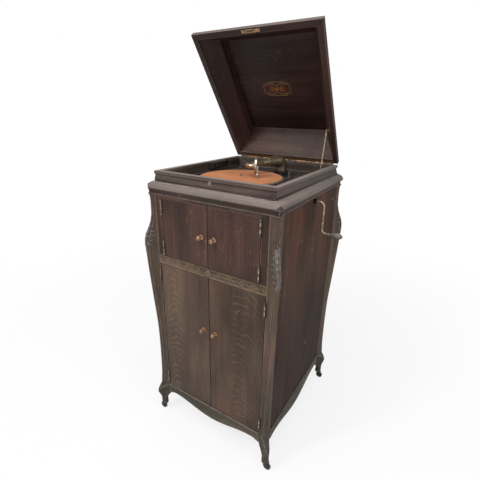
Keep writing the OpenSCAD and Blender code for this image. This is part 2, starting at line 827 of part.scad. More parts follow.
// Half section of the lid's boards, from the nominal outer face inwards
module lid_profile() {
  translate([0, lid_z]) difference() {
    polygon([[-middle, 0], [0, 0], [0, lid_edge_h], [-cove_start[0] + 2, lid_edge_h],
      [-cove_start[0], cove_start[1]], [-cove_end[0], cove_end[1]], [-middle, cove_end[1]]]);
    translate([-cove_c[0], cove_c[1]]) circle(r = cove_r, $fn = 120);
  }
}

// Inside of the lid: an upright edge, then four slopes up to the top panel
module lid_hollow() {
  moulded_block(well_x, well_y) translate([0, lid_z]) polygon([
    [-middle, -1], [0, -1], [0, 6], [-lid_slope, lid_depth], [-lid_slope, lid_depth + 1], [-middle, lid_depth + 1]
  ]);
}

// Four boards, mitred and glued into one frame
module lid_boards() {
  color(DARK_OAK) opened_lid() difference() {
    moulded_block(rim_x, rim_y) lid_profile();
    lid_hollow();
    board([-lid_hinge_l / 2, rim_y - lid_leaf_w, lid_z - 1], [lid_hinge_l / 2, rim_y + 1, lid_z + lid_leaf_t]);
  }
}

// Panel on top of the boards, crowned both ways
module lid_top_panel() {
  edge = cove_end[0] - 3;
  z0 = lid_z + lid_depth;
  steps = 14;
  color(DARK_OAK) opened_lid() intersection() {
    rotate([90, 0, 0]) linear_extrude(long, center = true) crown_section(rim_x - edge, z0, steps);
    rotate([90, 0, 90]) linear_extrude(long, center = true) crown_section(rim_y - edge, z0, steps);
  }
}

// Section across the crowned panel: square below, chamfered, then an even swell
module crown_section(half, z0, steps) {
  chamfer = 2;
  top = z0 + top_panel_t;
  polygon(concat(
    [[-half, z0 + chamfer], [chamfer - half, z0], [half - chamfer, z0], [half, z0 + chamfer], [half, top - chamfer]],
    [for (i = [0 : steps]) let (x = (half - chamfer) * (1 - 2 * i / steps))
      [x, top + crown_h * (1 - pow(x / (half - chamfer), 2))]],
    [[-half, top - chamfer]]
  ));
}

stay_x = well_x - 9;
stay_t = 3;
stay_w = 7;
stay_pin_r = 2;
stay_p = [lid_hinge_y - stay_at, lid_z + 3.2];    // the stay's upper pivot with the lid closed, in Y and Z

// Lid leaf of the hinge, strike plate of the lock, and the bracket with the stay's pivot pin
module lid_fittings() {
  strike = [34, 5];
  color(BRASS) opened_lid() {
    lid_leaf(1);
    translate([0, -rim_y + rim_wall / 2, lid_z]) difference() {
      board([-strike[0], -strike[1], -0.2], [strike[0], strike[1], 0]);
      board([-13, -2, -1], [13, 2, 1]);
    }
    board([well_x - 2, stay_p[0] - 12, lid_z + 0.4], [well_x, stay_p[0] + 12, lid_z + 5.9]);
    rod_x(stay_x - stay_t - 2, well_x - 1, stay_p[0], stay_p[1], stay_pin_r);
    rod_x(stay_x - stay_t - 2, stay_x - stay_t - 0.5, stay_p[0], stay_p[1], stay_pin_r + 1.5);
  }
}

function open_point(p) =
  let (d = p - [lid_hinge_y, lid_hinge_z])
  [lid_hinge_y + d[0] * cos(lid_open) + d[1] * sin(lid_open),
   lid_hinge_z - d[0] * sin(lid_open) + d[1] * cos(lid_open)];
stay_open = open_point(stay_p);
track_z = rim_top - 8;
stay_lean = acos(min(1, (stay_open[1] - track_z) / stay_l));

// Flat rod from the lid's bracket down to the slotted track; its foot runs in front of the slot
module lid_stay() {
  color(BRASS) translate([0, stay_open[0], stay_open[1]]) rotate([-stay_lean, 0, 0]) difference() {
    union() {
      rod_x(stay_x - stay_t, stay_x, 0, 0, stay_w / 2);
      rod_x(stay_x - stay_t, stay_x, 0, -stay_l, stay_w / 2);
      board([stay_x - stay_t, -stay_w / 2 + 1, -stay_l], [stay_x, stay_w / 2 - 1, 0]);
      rod_x(stay_x - eps, stay_x + 4, 0, -stay_l, 2);
    }
    rod_x(stay_x - stay_t - 1, stay_x + 1, 0, 0, stay_pin_r + fit);
  }
}

module stay_track() {
  y0 = stay_p[0] - stay_l - 12;
  y1 = stay_open[0] + 4;
  color(BRASS) difference() {
    board([well_x - 3, y0, track_z - 6], [well_x, y1, track_z + 6]);
    board([well_x - 4, y0 + 5, track_z - 2.5], [well_x - 1, y1 - 5, track_z + 2.5]);
  }
}

// ---------------------------------------------------------------- well fittings

box_y = [18, 121];
box_z = [rim_top - 26, rim_top - 2];
box_deep = 24;
tray_pin = [-well_x + 7, box_y[1] - 8];

module needle_box() {
  wall = 2;
  color(IRON) {
    difference() {
      board([-well_x, box_y[0], box_z[0]], [-well_x + box_deep, box_y[1], box_z[1]]);
      board([-well_x + wall, box_y[0] + wall, box_z[0] + wall], [-well_x + box_deep + 1, box_y[1] - wall, box_z[1] - wall]);
    }
    translate([tray_pin[0], tray_pin[1], box_z[0] + 1]) cylinder(h = box_z[1] - box_z[0] - 2, r = pin_r);
  }
}

// Tray that swings out of the needle box on its pin, with four cups and a knob
module needle_tray() {
  y0 = box_y[0] + 2.6;
  z0 = box_z[0] + 2.4;
  z1 = box_z[1] - 2.4;
  x0 = -well_x + 2.6;
  x1 = -well_x + box_deep;
  color(IRON) difference() {
    union() {
      board([x0, y0, z0], [x1, tray_pin[1] - 9, z1]);
      board([x0, y0, z0], [tray_pin[0] + 4.4, tray_pin[1], z1]);
      translate([tray_pin[0], tray_pin[1], z0]) cylinder(h = z1 - z0, r = 4.4);
      translate([x1 - eps, y0 + 12, (z0 + z1) / 2]) rotate([0, 90, 0]) rotate_extrude()
        polygon([[0, 0], [2, 0], [2, 2], [4, 4], [4.5, 6.5], [3.5, 8.5], [0, 9.5]]);
    }
    translate([tray_pin[0], tray_pin[1], z0 - 1]) cylinder(h = z1 - z0 + 2, r = pin_r + fit);
    for (i = [0 : 3]) translate([(x0 + x1) / 2, y0 + 12 + i * 19, z1]) sphere(r = 8);
  }
}

// Key plate on the front of the rim, and the ring where the crank enters the side panel
module escutcheons() {
  color(BRASS) {
    difference() {
      key_plate(1.6);
      translate([0, -rim_y, rim_top - 21]) rotate([90, 0, 0]) {
        translate([0, 2, -1.9]) cylinder(h = 5, r = 2.2);
        translate([-1.1, -6, -1.9]) cube([2.2, 8, 5]);
      }
    }
    difference() {
      union() {
        rod_x(side_x, side_x + 2, barrel_y, winding_z, 12);
        rod_x(side_x, side_x + 6, barrel_y, winding_z, crank_r + 3);
      }
      rod_x(side_x - 1, side_x + 8, barrel_y, winding_z, crank_r + fit);
    }
  }
}

// ---------------------------------------------------------------- turntable

module platter() {
  hub = 20;
  skin = 2.5;
  color(NICKEL) translate([0, spindle_y, platter_z]) rotate_extrude($fn = 96) polygon([
    [spindle_r, 3], [hub, 3], [hub, platter_h - skin - 2], [hub + 4, platter_h - skin],
    [platter_r - 5, platter_h - skin], [platter_r - 4, platter_h - skin - 2], [platter_r - 4, 0],
    [platter_r, 0], [platter_r, platter_h - 2], [platter_r - 2, platter_h], [spindle_r, platter_h]
  ]);
}

module felt() {
  color([0.75, 0.36, 0.18]) translate([0, spindle_y, felt_z]) difference() {
    cylinder(h = felt_t, r = platter_r - 6, $fn = 96);
    translate([0, 0, -1]) cylinder(h = felt_t + 2, r = spindle_r);
  }
}

// Spindle with the pinion that the great wheel drives and the wheel that drives the governor
module spindle() {
  foot = frame_bottom + 1;
  color(STEEL) translate([0, spindle_y, 0]) {
    translate([0, 0, foot]) cylinder(h = felt_top - foot, r = spindle_r);
    translate([0, 0, felt_top]) cylinder(h = record_pin_h, r = record_pin_r);
    translate([0, 0, felt_top + record_pin_h]) cylinder(h = 2, r1 = record_pin_r, r2 = 1.2);
    translate([0, 0, great_z]) gear(pinion_teeth, great_module, 7, 90);
    translate([0, 0, wheel_z]) gear(wheel_teeth, governor_module, 4, governor_dir + 180 / wheel_teeth);
  }
}

// ---------------------------------------------------------------- motor

module spring_barrel() {
  low = frame_bottom + plate_t + 6;
  color(BRASS) translate([0, barrel_y, 0]) difference() {
    union() {
      translate([0, 0, low]) cylinder(h = great_z - low, r = barrel_drum_r, $fn = 96);
      translate([0, 0, great_z]) gear(great_teeth, great_module, 5, -90 + 180 / great_teeth);
      translate([0, 0, low - 3]) cylinder(h = 4, r = 14);
      for (z = [low + 4, great_z - 7]) translate([0, 0, z]) cylinder(h = 3, r = barrel_drum_r + 1.5, $fn = 96);
    }
    translate([0, 0, low - 4]) cylinder(h = great_z - low + 12, r = arbor_r + fit);
  }
}

// Crown wheel on the barrel's arbor; the pinion on the crank's shaft turns it
module winding_wheel() {
  rim_in = crown_r - crown_face / 2;
  rim_out = crown_r + crown_face / 2;
  pitch_z = winding_z - winding_r;
  disc_top = pitch_z - 1.2 * winding_module;
  disc_t = 3;
  foot = frame_bottom + 1;
  tooth_w = 0.3;
  color(STEEL) translate([0, barrel_y, 0]) {
    translate([0, 0, foot]) cylinder(h = frame_top - 1 - foot, r = arbor_r);
    translate([0, 0, disc_top - disc_t]) cylinder(h = disc_t, r = rim_out);
    translate([0, 0, disc_top - disc_t]) cylinder(h = disc_t + 6, r = 12);
    translate([0, 0, disc_top]) intersection() {
      difference() {
        cylinder(h = 2.0 * winding_module, r = rim_out);
        translate([0, 0, -1]) cylinder(h = 2.0 * winding_module + 2, r = rim_in);
      }
      for (i = [0 : crown_teeth - 1]) rotate((i + 0.5) * 360 / crown_teeth)
        linear_extrude(2.0 * winding_module) polygon([[0, 0],
          long / 8 * [cos(180 * tooth_w / crown_teeth), -sin(180 * tooth_w / crown_teeth)],
          long / 8 * [cos(180 * tooth_w / crown_teeth), sin(180 * tooth_w / crown_teeth)]]);
    }
  }
}

// Fly-ball governor: collar, three leaf springs with weights, friction disc
module governor() {
  foot = frame_bottom + 1;
  top_z = wheel_z - 10;
  low_z = frame_bottom + plate_t + 22;
  mid = (top_z + low_z) / 2;
  ball_at = 15;
  ball = 6;
  strip_l = norm([ball_at - 6, (top_z - low_z) / 2]);
  strip_a = atan2(ball_at - 6, (top_z - low_z) / 2);
  color(BRASS) translate([governor_p[0], governor_p[1], 0]) {
    translate([0, 0, foot]) cylinder(h = frame_top - 1 - foot, r = governor_r);
    translate([0, 0, wheel_z - 2]) gear(governor_teeth, governor_module, 8, governor_dir + 180);
    translate([0, 0, top_z - 3]) cylinder(h = 6, r = 7);
    translate([0, 0, low_z - 3]) cylinder(h = 6, r = 7);
    translate([0, 0, low_z - 9]) cylinder(h = 2, r = 15);
    translate([0, 0, low_z - 8]) cylinder(h = 6, r = 5);
    for (a = [0, 120, 240]) rotate(a) {
      translate([ball_at, 0, mid]) sphere(r = ball);
      for (s = [-1, 1]) translate([6, 0, s > 0 ? top_z : low_z]) rotate([0, s > 0 ? 180 - strip_a : strip_a, 0])
        translate([-0.4, -2, 0]) cube([0.8, 4, strip_l]);
    }
  }
}

frame_half = [82, 70];
frame_fore = 56;
frame_rear = 76;

// Two plates on four pillars, with the bearings of the spindle, arbor and governor and of the crank's shaft
module motor_frame() {
  y0 = spindle_y - frame_fore;
  y1 = barrel_y + frame_rear;
  bores = [[0, spindle_y, spindle_r], [0, barrel_y, arbor_r], [governor_p[0], governor_p[1], governor_r]];
  low_top = frame_bottom + plate_t;
  color(IRON) difference() {
    union() {
      board([-frame_half[0], y0, frame_top - plate_t], [frame_half[0], y1, frame_top]);
      board([-frame_half[1], y0, frame_bottom], [frame_half[1], y1, low_top]);
      for (x = [-1, 1], y = [y0 + 7, y1 - 7]) translate([x * (frame_half[1] - 7), y, low_top])
        cylinder(h = frame_top - plate_t - low_top, r = 5);
      board([66, barrel_y - 9, winding_z - 9], [76, barrel_y + 9, frame_top - plate_t]);
    }
    for (b = bores) translate([b[0], b[1], frame_bottom - 1])
      cylinder(h = motor_h + 2 * plate_t + 2, r = b[2] + fit);
    rod_x(60, 80, barrel_y, winding_z, crank_r + fit);
  }
}

// ---------------------------------------------------------------- tonearm

module tonearm_bracket() {
  color(IRON) translate([arm_p[0], arm_p[1], board_top]) difference() {
    union() {
      cylinder(h = 4, r = throat_r + 9);
      cylinder(h = bracket_h - 2, r = arm_r + 5);
      translate([0, 0, bracket_h - 5]) cylinder(h = 5, r = arm_r + 7);
    }
    translate([0, 0, -1]) cylinder(h = bracket_h + 2, r = arm_r + fit);
  }
}

// Puts its child at the tonearm's pivot, with +X pointing along the arm
module on_arm() {
  translate([arm_p[0], arm_p[1], 0]) rotate(-90 + arm_turn) children();
}

// Elbow and taper, drawn slimmer for the hollow
module arm_solid(less, over) {
  low = board_top + 1;
  translate([0, 0, low - over]) cylinder(h = arm_z - arm_bend - low + over, r = arm_r - less);
  translate([arm_bend, 0, arm_z - arm_bend]) rotate([90, 0, 0])
    rotate_extrude(angle = 90, start = 90) translate([arm_bend, 0]) circle(r = arm_r - less);
  translate([arm_bend, 0, arm_z]) rotate([0, 90, 0]) {
    cylinder(h = 62, r1 = arm_r - less, r2 = 15 - less);
    translate([0, 0, 62]) cylinder(h = 32, r1 = 15 - less, r2 = arm_end_r - less);
    translate([0, 0, 94]) cylinder(h = arm_l - arm_bend - 94 + over, r = arm_end_r - less);
  }
}

module tonearm_tube() {
  color(NICKEL) on_arm() difference() {
    union() {
      arm_solid(0, 0);
      translate([arm_bend + 58, 0, arm_z]) rotate([0, 90, 0]) cylinder(h = 4, r = 16.5);
      translate([arm_l - 6, 0, arm_z]) rotate([0, 90, 0]) cylinder(h = 6, r = arm_end_r + 1.2);
    }
    arm_solid(tube_wall, 1);
  }
}

// Length of tube along the arm's axis, from a to b past the end of the arm
module neck_part(a, b, r, bore) {
  translate([arm_l + a, 0, arm_z]) rotate([0, 90, 0]) linear_extrude(b - a) ring(r, bore);
}

// Gooseneck: a spigot in the arm, a collar, and a hooked tube to the soundbox
module gooseneck() {
  bore = neck_r - 2;
  collar_l = 8;
  color(BRASS) on_arm() {
    neck_part(-14, play, arm_end_r - tube_wall - fit, bore);
    neck_part(play, play + collar_l, arm_end_r + 1.2, bore);
    neck_part(play + collar_l, neck_l, neck_r, bore);
    translate([arm_l + neck_l, neck_bend, arm_z]) rotate(-90)
      rotate_extrude(angle = neck_turn) translate([neck_bend, 0]) ring(neck_r, bore);
  }
}

// Soundbox on the gooseneck's end, its needle resting just over the felt
needle_a = 60;
needle_drop = arm_z - felt_top - play;
needle_l = needle_drop / sin(needle_a);

module soundbox() {
  back_r = 12;
  rim_w = 4;
  color(NICKEL) on_arm() translate([arm_l + neck_l, neck_bend, arm_z]) rotate(neck_turn - 90)
    translate([neck_bend, box_stub, 0]) rotate([-90, 0, 0]) {
      rotate_extrude($fn = 64) polygon([[0, -box_stub], [neck_r, -box_stub], [neck_r + 1, 1 - box_stub],
        [neck_r + 1, 0], [back_r, 0], [back_r, 3], [soundbox_r - 2, 4], [soundbox_r, 6],
        [soundbox_r, soundbox_t - 1], [soundbox_r - 1, soundbox_t], [soundbox_r - rim_w, soundbox_t],
        [soundbox_r - rim_w, soundbox_t - 3], [0, soundbox_t - 3]]);
      rotate(needle_a) {
        translate([0, -1.6, soundbox_t - 3.2]) cube([soundbox_r - 4, 3.2, 5]);
        translate([soundbox_r - 6, -4, soundbox_t - 3.1]) cube([9, 8, 7]);
        translate([soundbox_r + 2, 0, soundbox_t + 0.4]) rotate([0, 90, 0])
          cylinder(h = needle_l - soundbox_r - 2 - 4, r = 0.9);
        translate([needle_l - 4 - eps, 0, soundbox_t + 0.4]) rotate([0, 90, 0]) cylinder(h = 4, r1 = 0.9, r2 = 0.2);
        translate([soundbox_r - 1, 3.9, soundbox_t + 0.4]) rotate([-90, 0, 0]) cylinder(h = 6, r = 1.5);
        translate([soundbox_r - 1, 8, soundbox_t + 0.4]) rotate([-90, 0, 0]) cylinder(h = 3, r = 3);
      }
    }
}

// ---------------------------------------------------------------- controls

// Brake: a bent lever on the motor board whose pad meets the platter's rim
module brake_lever() {
  pad_dir = 45;
  pad = [(platter_r + play) * cos(pad_dir), spindle_y + (platter_r + play) * sin(pad_dir)];
  arm_a = atan2(pad[1] - brake_p[1], pad[0] - brake_p[0]);
  arm_len = norm(pad - brake_p);
  z = board_top + 8;
  color(NICKEL) {
    translate([brake_p[0], brake_p[1], board_z + 4]) cylinder(h = z - board_z, r = small_pin_r);
    translate([brake_p[0], brake_p[1], board_top + play]) cylinder(h = z - board_top + 1, r = 7);
    difference() {
      translate([brake_p[0], brake_p[1], z]) {
        rotate(arm_a) translate([0, -4, 0]) cube([arm_len + 4, 8, 3]);
        rotate(112) translate([0, -4, 0]) cube([48, 8, 3]);
        rotate(112) translate([44, 0, 2.9]) cylinder(h = 6, r1 = 3, r2 = 5);
        rotate(112) translate([44, 0, 8.8]) cylinder(h = 2, r = 5.5);
      }
      translate([0, spindle_y, 0]) cylinder(h = long, r = platter_r + play, $fn = 96);
    }
  }
}

module speed_dial() {
  color(NICKEL) translate([dial_p[0], dial_p[1], 0]) {
    translate([0, 0, board_z + 4]) cylinder(h = board_t, r = small_pin_r);
    translate([0, 0, board_top + play]) cylinder(h = 2, r = 17);
    translate([0, 0, board_top + play + 1]) cylinder(h = 9, r = 8);
    translate([0, -1, board_top + play + 1]) cube([15, 2, 4]);
  }
}

// Bent rod: the winding shaft with its pinion, the throw, and the pin that the grip turns on
module crank() {
  bend = 16;
  low = winding_z - crank_throw;
  tip = crank_x + bend + 8;
  color(NICKEL) translate([0, barrel_y, 0]) {
    rod_x(crown_r - crown_face / 2 - 1, crank_x - bend, 0, winding_z, crank_r);
    translate([crank_x - bend, 0, winding_z - bend]) rotate([90, 0, 0])
      rotate_extrude(angle = 90) translate([bend, 0]) circle(r = crank_r);
    translate([crank_x, 0, low + bend]) cylinder(h = crank_throw - 2 * bend, r = crank_r);
    translate([crank_x + bend, 0, low + bend]) rotate([90, 0, 0])
      rotate_extrude(angle = 90, start = 180) translate([bend, 0]) circle(r = crank_r);
    rod_x(crank_x + bend, tip, 0, low, crank_r);
    rod_x(tip, tip + grip_l - 3, 0, low, small_pin_r);
    translate([crown_r - crown_face / 2, 0, winding_z]) rotate([0, 90, 0])
      gear(winding_teeth, winding_module, crown_face, 0);
  }
}

// Turned grip with a ferrule and a pear-shaped end
module crank_handle() {
  tip = crank_x + 16 + 8;
  color(OAK) translate([tip, barrel_y, winding_z - crank_throw]) rotate([0, 90, 0]) difference() {
    rotate_extrude() polygon(concat(
      [[0, play], [6, play], [6, 5], [5, 6], [5, 9]],
      [for (s = [0 : 0.05 : 1])
        [5 + 6.5 * pow(sin(180 * pow(s, 1.5)), 0.8), 9 + (grip_l - 11) * s]],
      [[3, grip_l], [0, grip_l]]
    ));
    translate([0, 0, -1]) cylinder(h = grip_l - 1, r = small_pin_r + fit);
  }
}

// ---------------------------------------------------------------- casters

// Swivel fork under the rear right foot: stem, crown, two cheeks and the axle
module fork() {
  cheek = 2.5;
  axle_r = 2;
  gap = wheel_w / 2 + 0.5;
  color(IRON) translate([foot_x, foot_y, 0]) {
    translate([0, 0, crown_z]) cylinder(h = crown_t, r = 10);
    translate([0, 0, crown_z + crown_t - eps]) cylinder(h = stem_h, r = stem_r);
    translate([0, 0, crown_z]) board([-9, -gap - cheek, 0], [caster_trail + 5, gap + cheek, crown_t]);
    for (s = [-1, 1]) translate([0, s > 0 ? gap : -gap - cheek, 0]) {
      board([caster_trail - 5, 0, wheel_r], [caster_trail + 5, cheek, crown_z + 1]);
      translate([caster_trail, 0, wheel_r]) rotate([-90, 0, 0]) cylinder(h = cheek, r = 5);
    }
    translate([caster_trail, -gap - cheek, wheel_r]) rotate([-90, 0, 0]) cylinder(h = 2 * (gap + cheek), r = axle_r);
  }
}

module wheel() {
  axle_r = 2;
  color([0.75, 0.73, 0.68]) translate([foot_x + caster_trail, foot_y - wheel_w / 2, wheel_r]) rotate([-90, 0, 0])
    rotate_extrude() polygon([[axle_r + fit, 0], [6, 0], [7, 1.5], [wheel_r - 3, 1.5], [wheel_r - 2, 0.8],
      [wheel_r, 2.5], [wheel_r, wheel_w - 2.5], [wheel_r - 2, wheel_w - 0.8], [wheel_r - 3, wheel_w - 1.5],
      [7, wheel_w - 1.5], [6, wheel_w], [axle_r + fit, wheel_w]]);
}

module at_corner(x_sign, y_sign) {
  mirror([x_sign < 0 ? 1 : 0, 0, 0]) mirror([0, y_sign < 0 ? 1 : 0, 0]) children();
}

module caster_fork_front_left() { at_corner(-1, -1) fork(); }
module caster_fork_front_right() { at_corner(1, -1) fork(); }
module caster_fork_rear_left() { at_corner(-1, 1) fork(); }
module caster_fork_rear_right() { at_corner(1, 1) fork(); }
module caster_wheel_front_left() { at_corner(-1, -1) wheel(); }
module caster_wheel_front_right() { at_corner(1, -1) wheel(); }
module caster_wheel_rear_left() { at_corner(-1, 1) wheel(); }
module caster_wheel_rear_right() { at_corner(1, 1) wheel(); }

// ---------------------------------------------------------------- nodes

reach_left = foot_x + caster_trail + wheel_r;
reach_right = crank_x + 24 + grip_l;
reach_front = face_y + knee_out;
reach_back = open_point([rim_y - cove_end[0] + 1, lid_z + lid_depth + top_panel_t])[0];
shift = [(reach_left - reach_right) / 2, (reach_front - reach_back) / 2, 0];

// Moves the case so that the origin lies on the floor under the middle of the whole object
module placed() {
  translate(shift) children();
}

placed() front_posts();
placed() rear_posts();
placed() side_panels();
placed() back_panel();
placed() front_frame();
placed() carved_rail();
placed() aprons();
placed() cornice();
placed() top_rim();
placed() motor_board();
placed() bottom_board();
placed() horn_shelf();
placed() record_rack();
placed() horn();
placed() horn_throat();
placed() tonearm_bracket();
placed() needle_box();
placed() escutcheons();
placed() stay_track();
placed() motor_frame();
placed() fixed_hinge_leaves();
placed() hinge_pins();
placed() upper_left_door();
placed() upper_right_door();
placed() lower_left_door();
placed() lower_right_door();
placed() upper_left_knob();
placed() upper_right_knob();
placed() lower_left_knob();
placed() lower_right_knob();
placed() upper_left_hinges();
placed() upper_right_hinges();
placed() lower_left_hinges();
placed() lower_right_hinges();
placed() lid_boards();
placed() lid_top_panel();
placed() lid_fittings();
placed() lid_stay();
placed() platter();
placed() felt();
placed() spindle();
placed() tonearm_tube();
placed() gooseneck();
placed() soundbox();
placed() crank();
placed() crank_handle();
placed() brake_lever();
placed() speed_dial();
placed() needle_tray();
placed() spring_barrel();
placed() winding_wheel();
placed() governor();
placed() caster_fork_front_left();
placed() caster_fork_front_right();
placed() caster_fork_rear_left();
placed() caster_fork_rear_right();
placed() caster_wheel_front_left();
placed() caster_wheel_front_right();
placed() caster_wheel_rear_left();
placed() caster_wheel_rear_right();
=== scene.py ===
"""Upright gramophone cabinet in dark quarter-sawn oak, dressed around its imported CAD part.

Lengths are in millimetres and materials' settings in metres where nothing else is said. Places
are measured from the middle of the case, x to the right, y to the back, z up from the floor.
"""

import math

import bmesh
import bpy
from mathutils import Matrix, Quaternion, Vector
from mathutils.bvhtree import BVHTree


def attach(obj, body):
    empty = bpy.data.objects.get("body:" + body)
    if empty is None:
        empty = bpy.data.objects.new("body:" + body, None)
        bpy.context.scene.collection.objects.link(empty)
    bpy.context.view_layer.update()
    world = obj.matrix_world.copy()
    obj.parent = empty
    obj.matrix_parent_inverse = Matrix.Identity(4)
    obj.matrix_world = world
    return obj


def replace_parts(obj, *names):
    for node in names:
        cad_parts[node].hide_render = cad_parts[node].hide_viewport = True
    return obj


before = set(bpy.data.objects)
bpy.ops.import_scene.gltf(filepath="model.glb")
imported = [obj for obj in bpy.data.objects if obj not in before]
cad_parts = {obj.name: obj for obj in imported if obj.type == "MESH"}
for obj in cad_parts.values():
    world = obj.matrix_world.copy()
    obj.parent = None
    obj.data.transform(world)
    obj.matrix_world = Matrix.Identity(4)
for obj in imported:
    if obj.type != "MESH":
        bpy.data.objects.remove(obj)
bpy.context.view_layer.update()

MM = 0.001
CASE_MIDDLE = Vector((-39.75, -8.8885, 0)) * MM  # middle of the case, in the part's frame
LID_ANGLE = math.radians(54)  # how far the lid stands open at rest
LID_HINGE = CASE_MIDDLE + Vector((0, 272.5, 1092.3)) * MM

FACE_Y = 285  # half the depth of the case
SIDE_X = 255  # half its width
APRON_TOP = 155
RAIL_Z = (750, 785)  # foot and top of the carved rail
CASE_TOP = 1014
BOARD_Z = 1027  # underside of the motor board
BOARD_TOP = 1046
CORNICE_TOP = 1055
RIM_X, RIM_Y = 239, 269  # half width and half depth of the rim, inside its cove
WELL_X = 220  # half width of the well for the turntable
SPINDLE_Y = -79
FELT_R = 146.4
FELT_TOP = 1071


def place(x, y, z):
    """A point in millimetres from the case's middle, in the part's frame."""
    return CASE_MIDDLE + Vector((x, y, z)) * MM


def from_closed_lid(point):
    """Where a point given with the lid shut is when the lid stands open."""
    return LID_HINGE + Matrix.Rotation(-LID_ANGLE, 3, "X") @ (point - LID_HINGE)


# ---- node trees


class Value:
    """A number, colour or shader on its way through a node tree. Sums on it become Math nodes."""

    def __init__(self, nodes, socket):
        self.nodes = nodes
        self.socket = socket

    def math(self, operation, *terms):
        return self.nodes.node("ShaderNodeMath", {"operation": operation}, dict(enumerate(terms)))

    def __add__(self, other):
        return self.math("ADD", self, other)

    __radd__ = __add__

    def __sub__(self, other):
        return self.math("SUBTRACT", self, other)

    def __rsub__(self, other):
        return self.math("SUBTRACT", other, self)

    def __mul__(self, other):
        return self.math("MULTIPLY", self, other)

    __rmul__ = __mul__

    def __truediv__(self, other):
        return self.math("DIVIDE", self, other)

    def __gt__(self, other):
        return self.math("GREATER_THAN", self, other)

    def __abs__(self):
        return self.math("ABSOLUTE", self)

    def waves(self, length):
        """Even waves of a length, from -1 to 1."""
        return self.math("SINE", self * (math.tau / length))

    def between(self, low, high):
        """0 at low and under, 1 at high and over, smooth between them."""
        settings = {"interpolation_type": "SMOOTHSTEP"}
        return self.nodes.node("ShaderNodeMapRange", settings, {0: self, 1: low, 2: high})

    def or_more(self, other):
        return self.math("MAXIMUM", self, other)

    def at_most_one(self):
        return self.math("MINIMUM", self, 1.0)


class Nodes:
    """A node tree, filled node by node."""

    def __init__(self, tree):
        self.tree = tree
        tree.nodes.clear()

    def node(self, kind, settings=None, inputs=None, output=0):
        """A new node's output as a Value."""
        made = self.tree.nodes.new(kind)
        for key, value in (settings or {}).items():
            setattr(made, key, value)
        for key, value in (inputs or {}).items():
            socket = made.inputs[key]
            if isinstance(value, Value):
                self.tree.links.new(value.socket, socket)
            else:
                socket.default_value = value
        return Value(self, made.outputs[output])

    def end_in(self, kind, shader):
        """Lead a shader to the output of the tree."""
        out = self.tree.nodes.new(kind)
        self.tree.links.new(shader.socket, out.inputs[0])


class Paint(Nodes):
    """A material, made node by node."""

    def __init__(self, name):
        self.material = bpy.data.materials.new(name)
        self.material.use_nodes = True
        super().__init__(self.material.node_tree)

    def here(self):
        """The point's own place on the piece, in metres."""
        return self.node("ShaderNodeTexCoord", output="Object")

    def split(self, vector):
        made = self.node("ShaderNodeSeparateXYZ", {}, {0: vector}).socket.node
        return [Value(self, socket) for socket in made.outputs]

    def joined(self, x, y, z):
        return self.node("ShaderNodeCombineXYZ", {}, {0: x, 1: y, 2: z})

    def scaled(self, vector, factors):
        settings = {"operation": "MULTIPLY"}
        return self.node("ShaderNodeVectorMath", settings, {0: vector, 1: factors})

    def noise(self, vector, scale=1.0, detail=3.0, rough=0.5, warp=0.0):
        sockets = {"Vector": vector, "Scale": scale, "Detail": detail}
        sockets |= {"Roughness": rough, "Distortion": warp}
        return self.node("ShaderNodeTexNoise", {}, sockets)

    def mix(self, factor, first, second, blend="MIX"):
        colours = [(*c, 1) if isinstance(c, tuple) else c for c in (first, second)]
        settings = {"data_type": "RGBA", "blend_type": blend}
        return self.node("ShaderNodeMix", settings, {0: factor, 6: colours[0], 7: colours[1]}, 2)

    def times(self, colour, tint):
        """A colour with each part of it multiplied by a tint's."""
        return self.mix(1.0, colour, tint, "MULTIPLY")

    def bump(self, height, distance, strength, normal=None):
        sockets = {"Height": height, "Distance": distance, "Strength": strength}
        if normal:
            sockets["Normal"] = normal
        return self.node("ShaderNodeBump", {}, sockets)

    def rounded(self, radius):
        """The normal as it would be with every edge rounded."""
        return self.node("ShaderNodeBevel", {"samples": 6}, {"Radius": radius})

    def normal(self):
        return self.node("ShaderNodeNewGeometry", output="Normal")

    def edges(self, radius):
        """1 on sharp edges, 0 on flat faces."""
        sockets = {0: self.rounded(radius), 1: self.normal()}
        alike = self.node("ShaderNodeVectorMath", {"operation": "DOT_PRODUCT"}, sockets, "Value")
        return (1 - alike).between(0.005, 0.14)

    def finish(self, **sockets):
        named = {key.replace("_", " "): value for key, value in sockets.items()}
        self.end_in("ShaderNodeOutputMaterial", self.node("ShaderNodeBsdfPrincipled", {}, named))
        return self.material


def shade(colour, factor):
    """A colour made darker or lighter."""
    return tuple(min(1, part * factor) for part in colour)


# ---- oak

# Waves of each pattern in a metre, across, through and along the grain.
GROWTH = (34, 34, 1.9)
STREAKS = (230, 230, 6)
BLOTCHES = (6, 6, 4)
CLOUDS = (9, 9, 3)
PORES = (900, 900, 26)
CHIPS = (160, 160, 60)
SCRATCHES = (420, 30, 75)
CURLS = (62, 62, 24)
CURL_PATCHES = (17, 17, 10)
ARCH_SWAY = (19, 19, 8)
ARCH_PATCHES = (30, 30, 17)
ARCH_STEP = 0.029  # between two arches
FINE_ARCH_STEP = 0.0097

WARM_STAIN = (0.93, 0.99, 0.9), (1.1, 0.99, 1.02)
CLOUD_TONE = (0.66, 0.66, 0.66), (1.34, 1.34, 1.34)
OLD_GILT = (0.18, 0.12, 0.048)
# Grey of the dust, also standing in for painted light on faces that look up.
DUST_AND_TOP_LIGHT = (0.235, 0.205, 0.19)
WORN_EDGE = 0.0034
ROUND_EDGE = 0.0012
# Reach of the painted shade in recesses: how far it looks for parts closing in.
RECESS_SHADE_REACH = 0.009
PORE_DEPTH = 0.00025


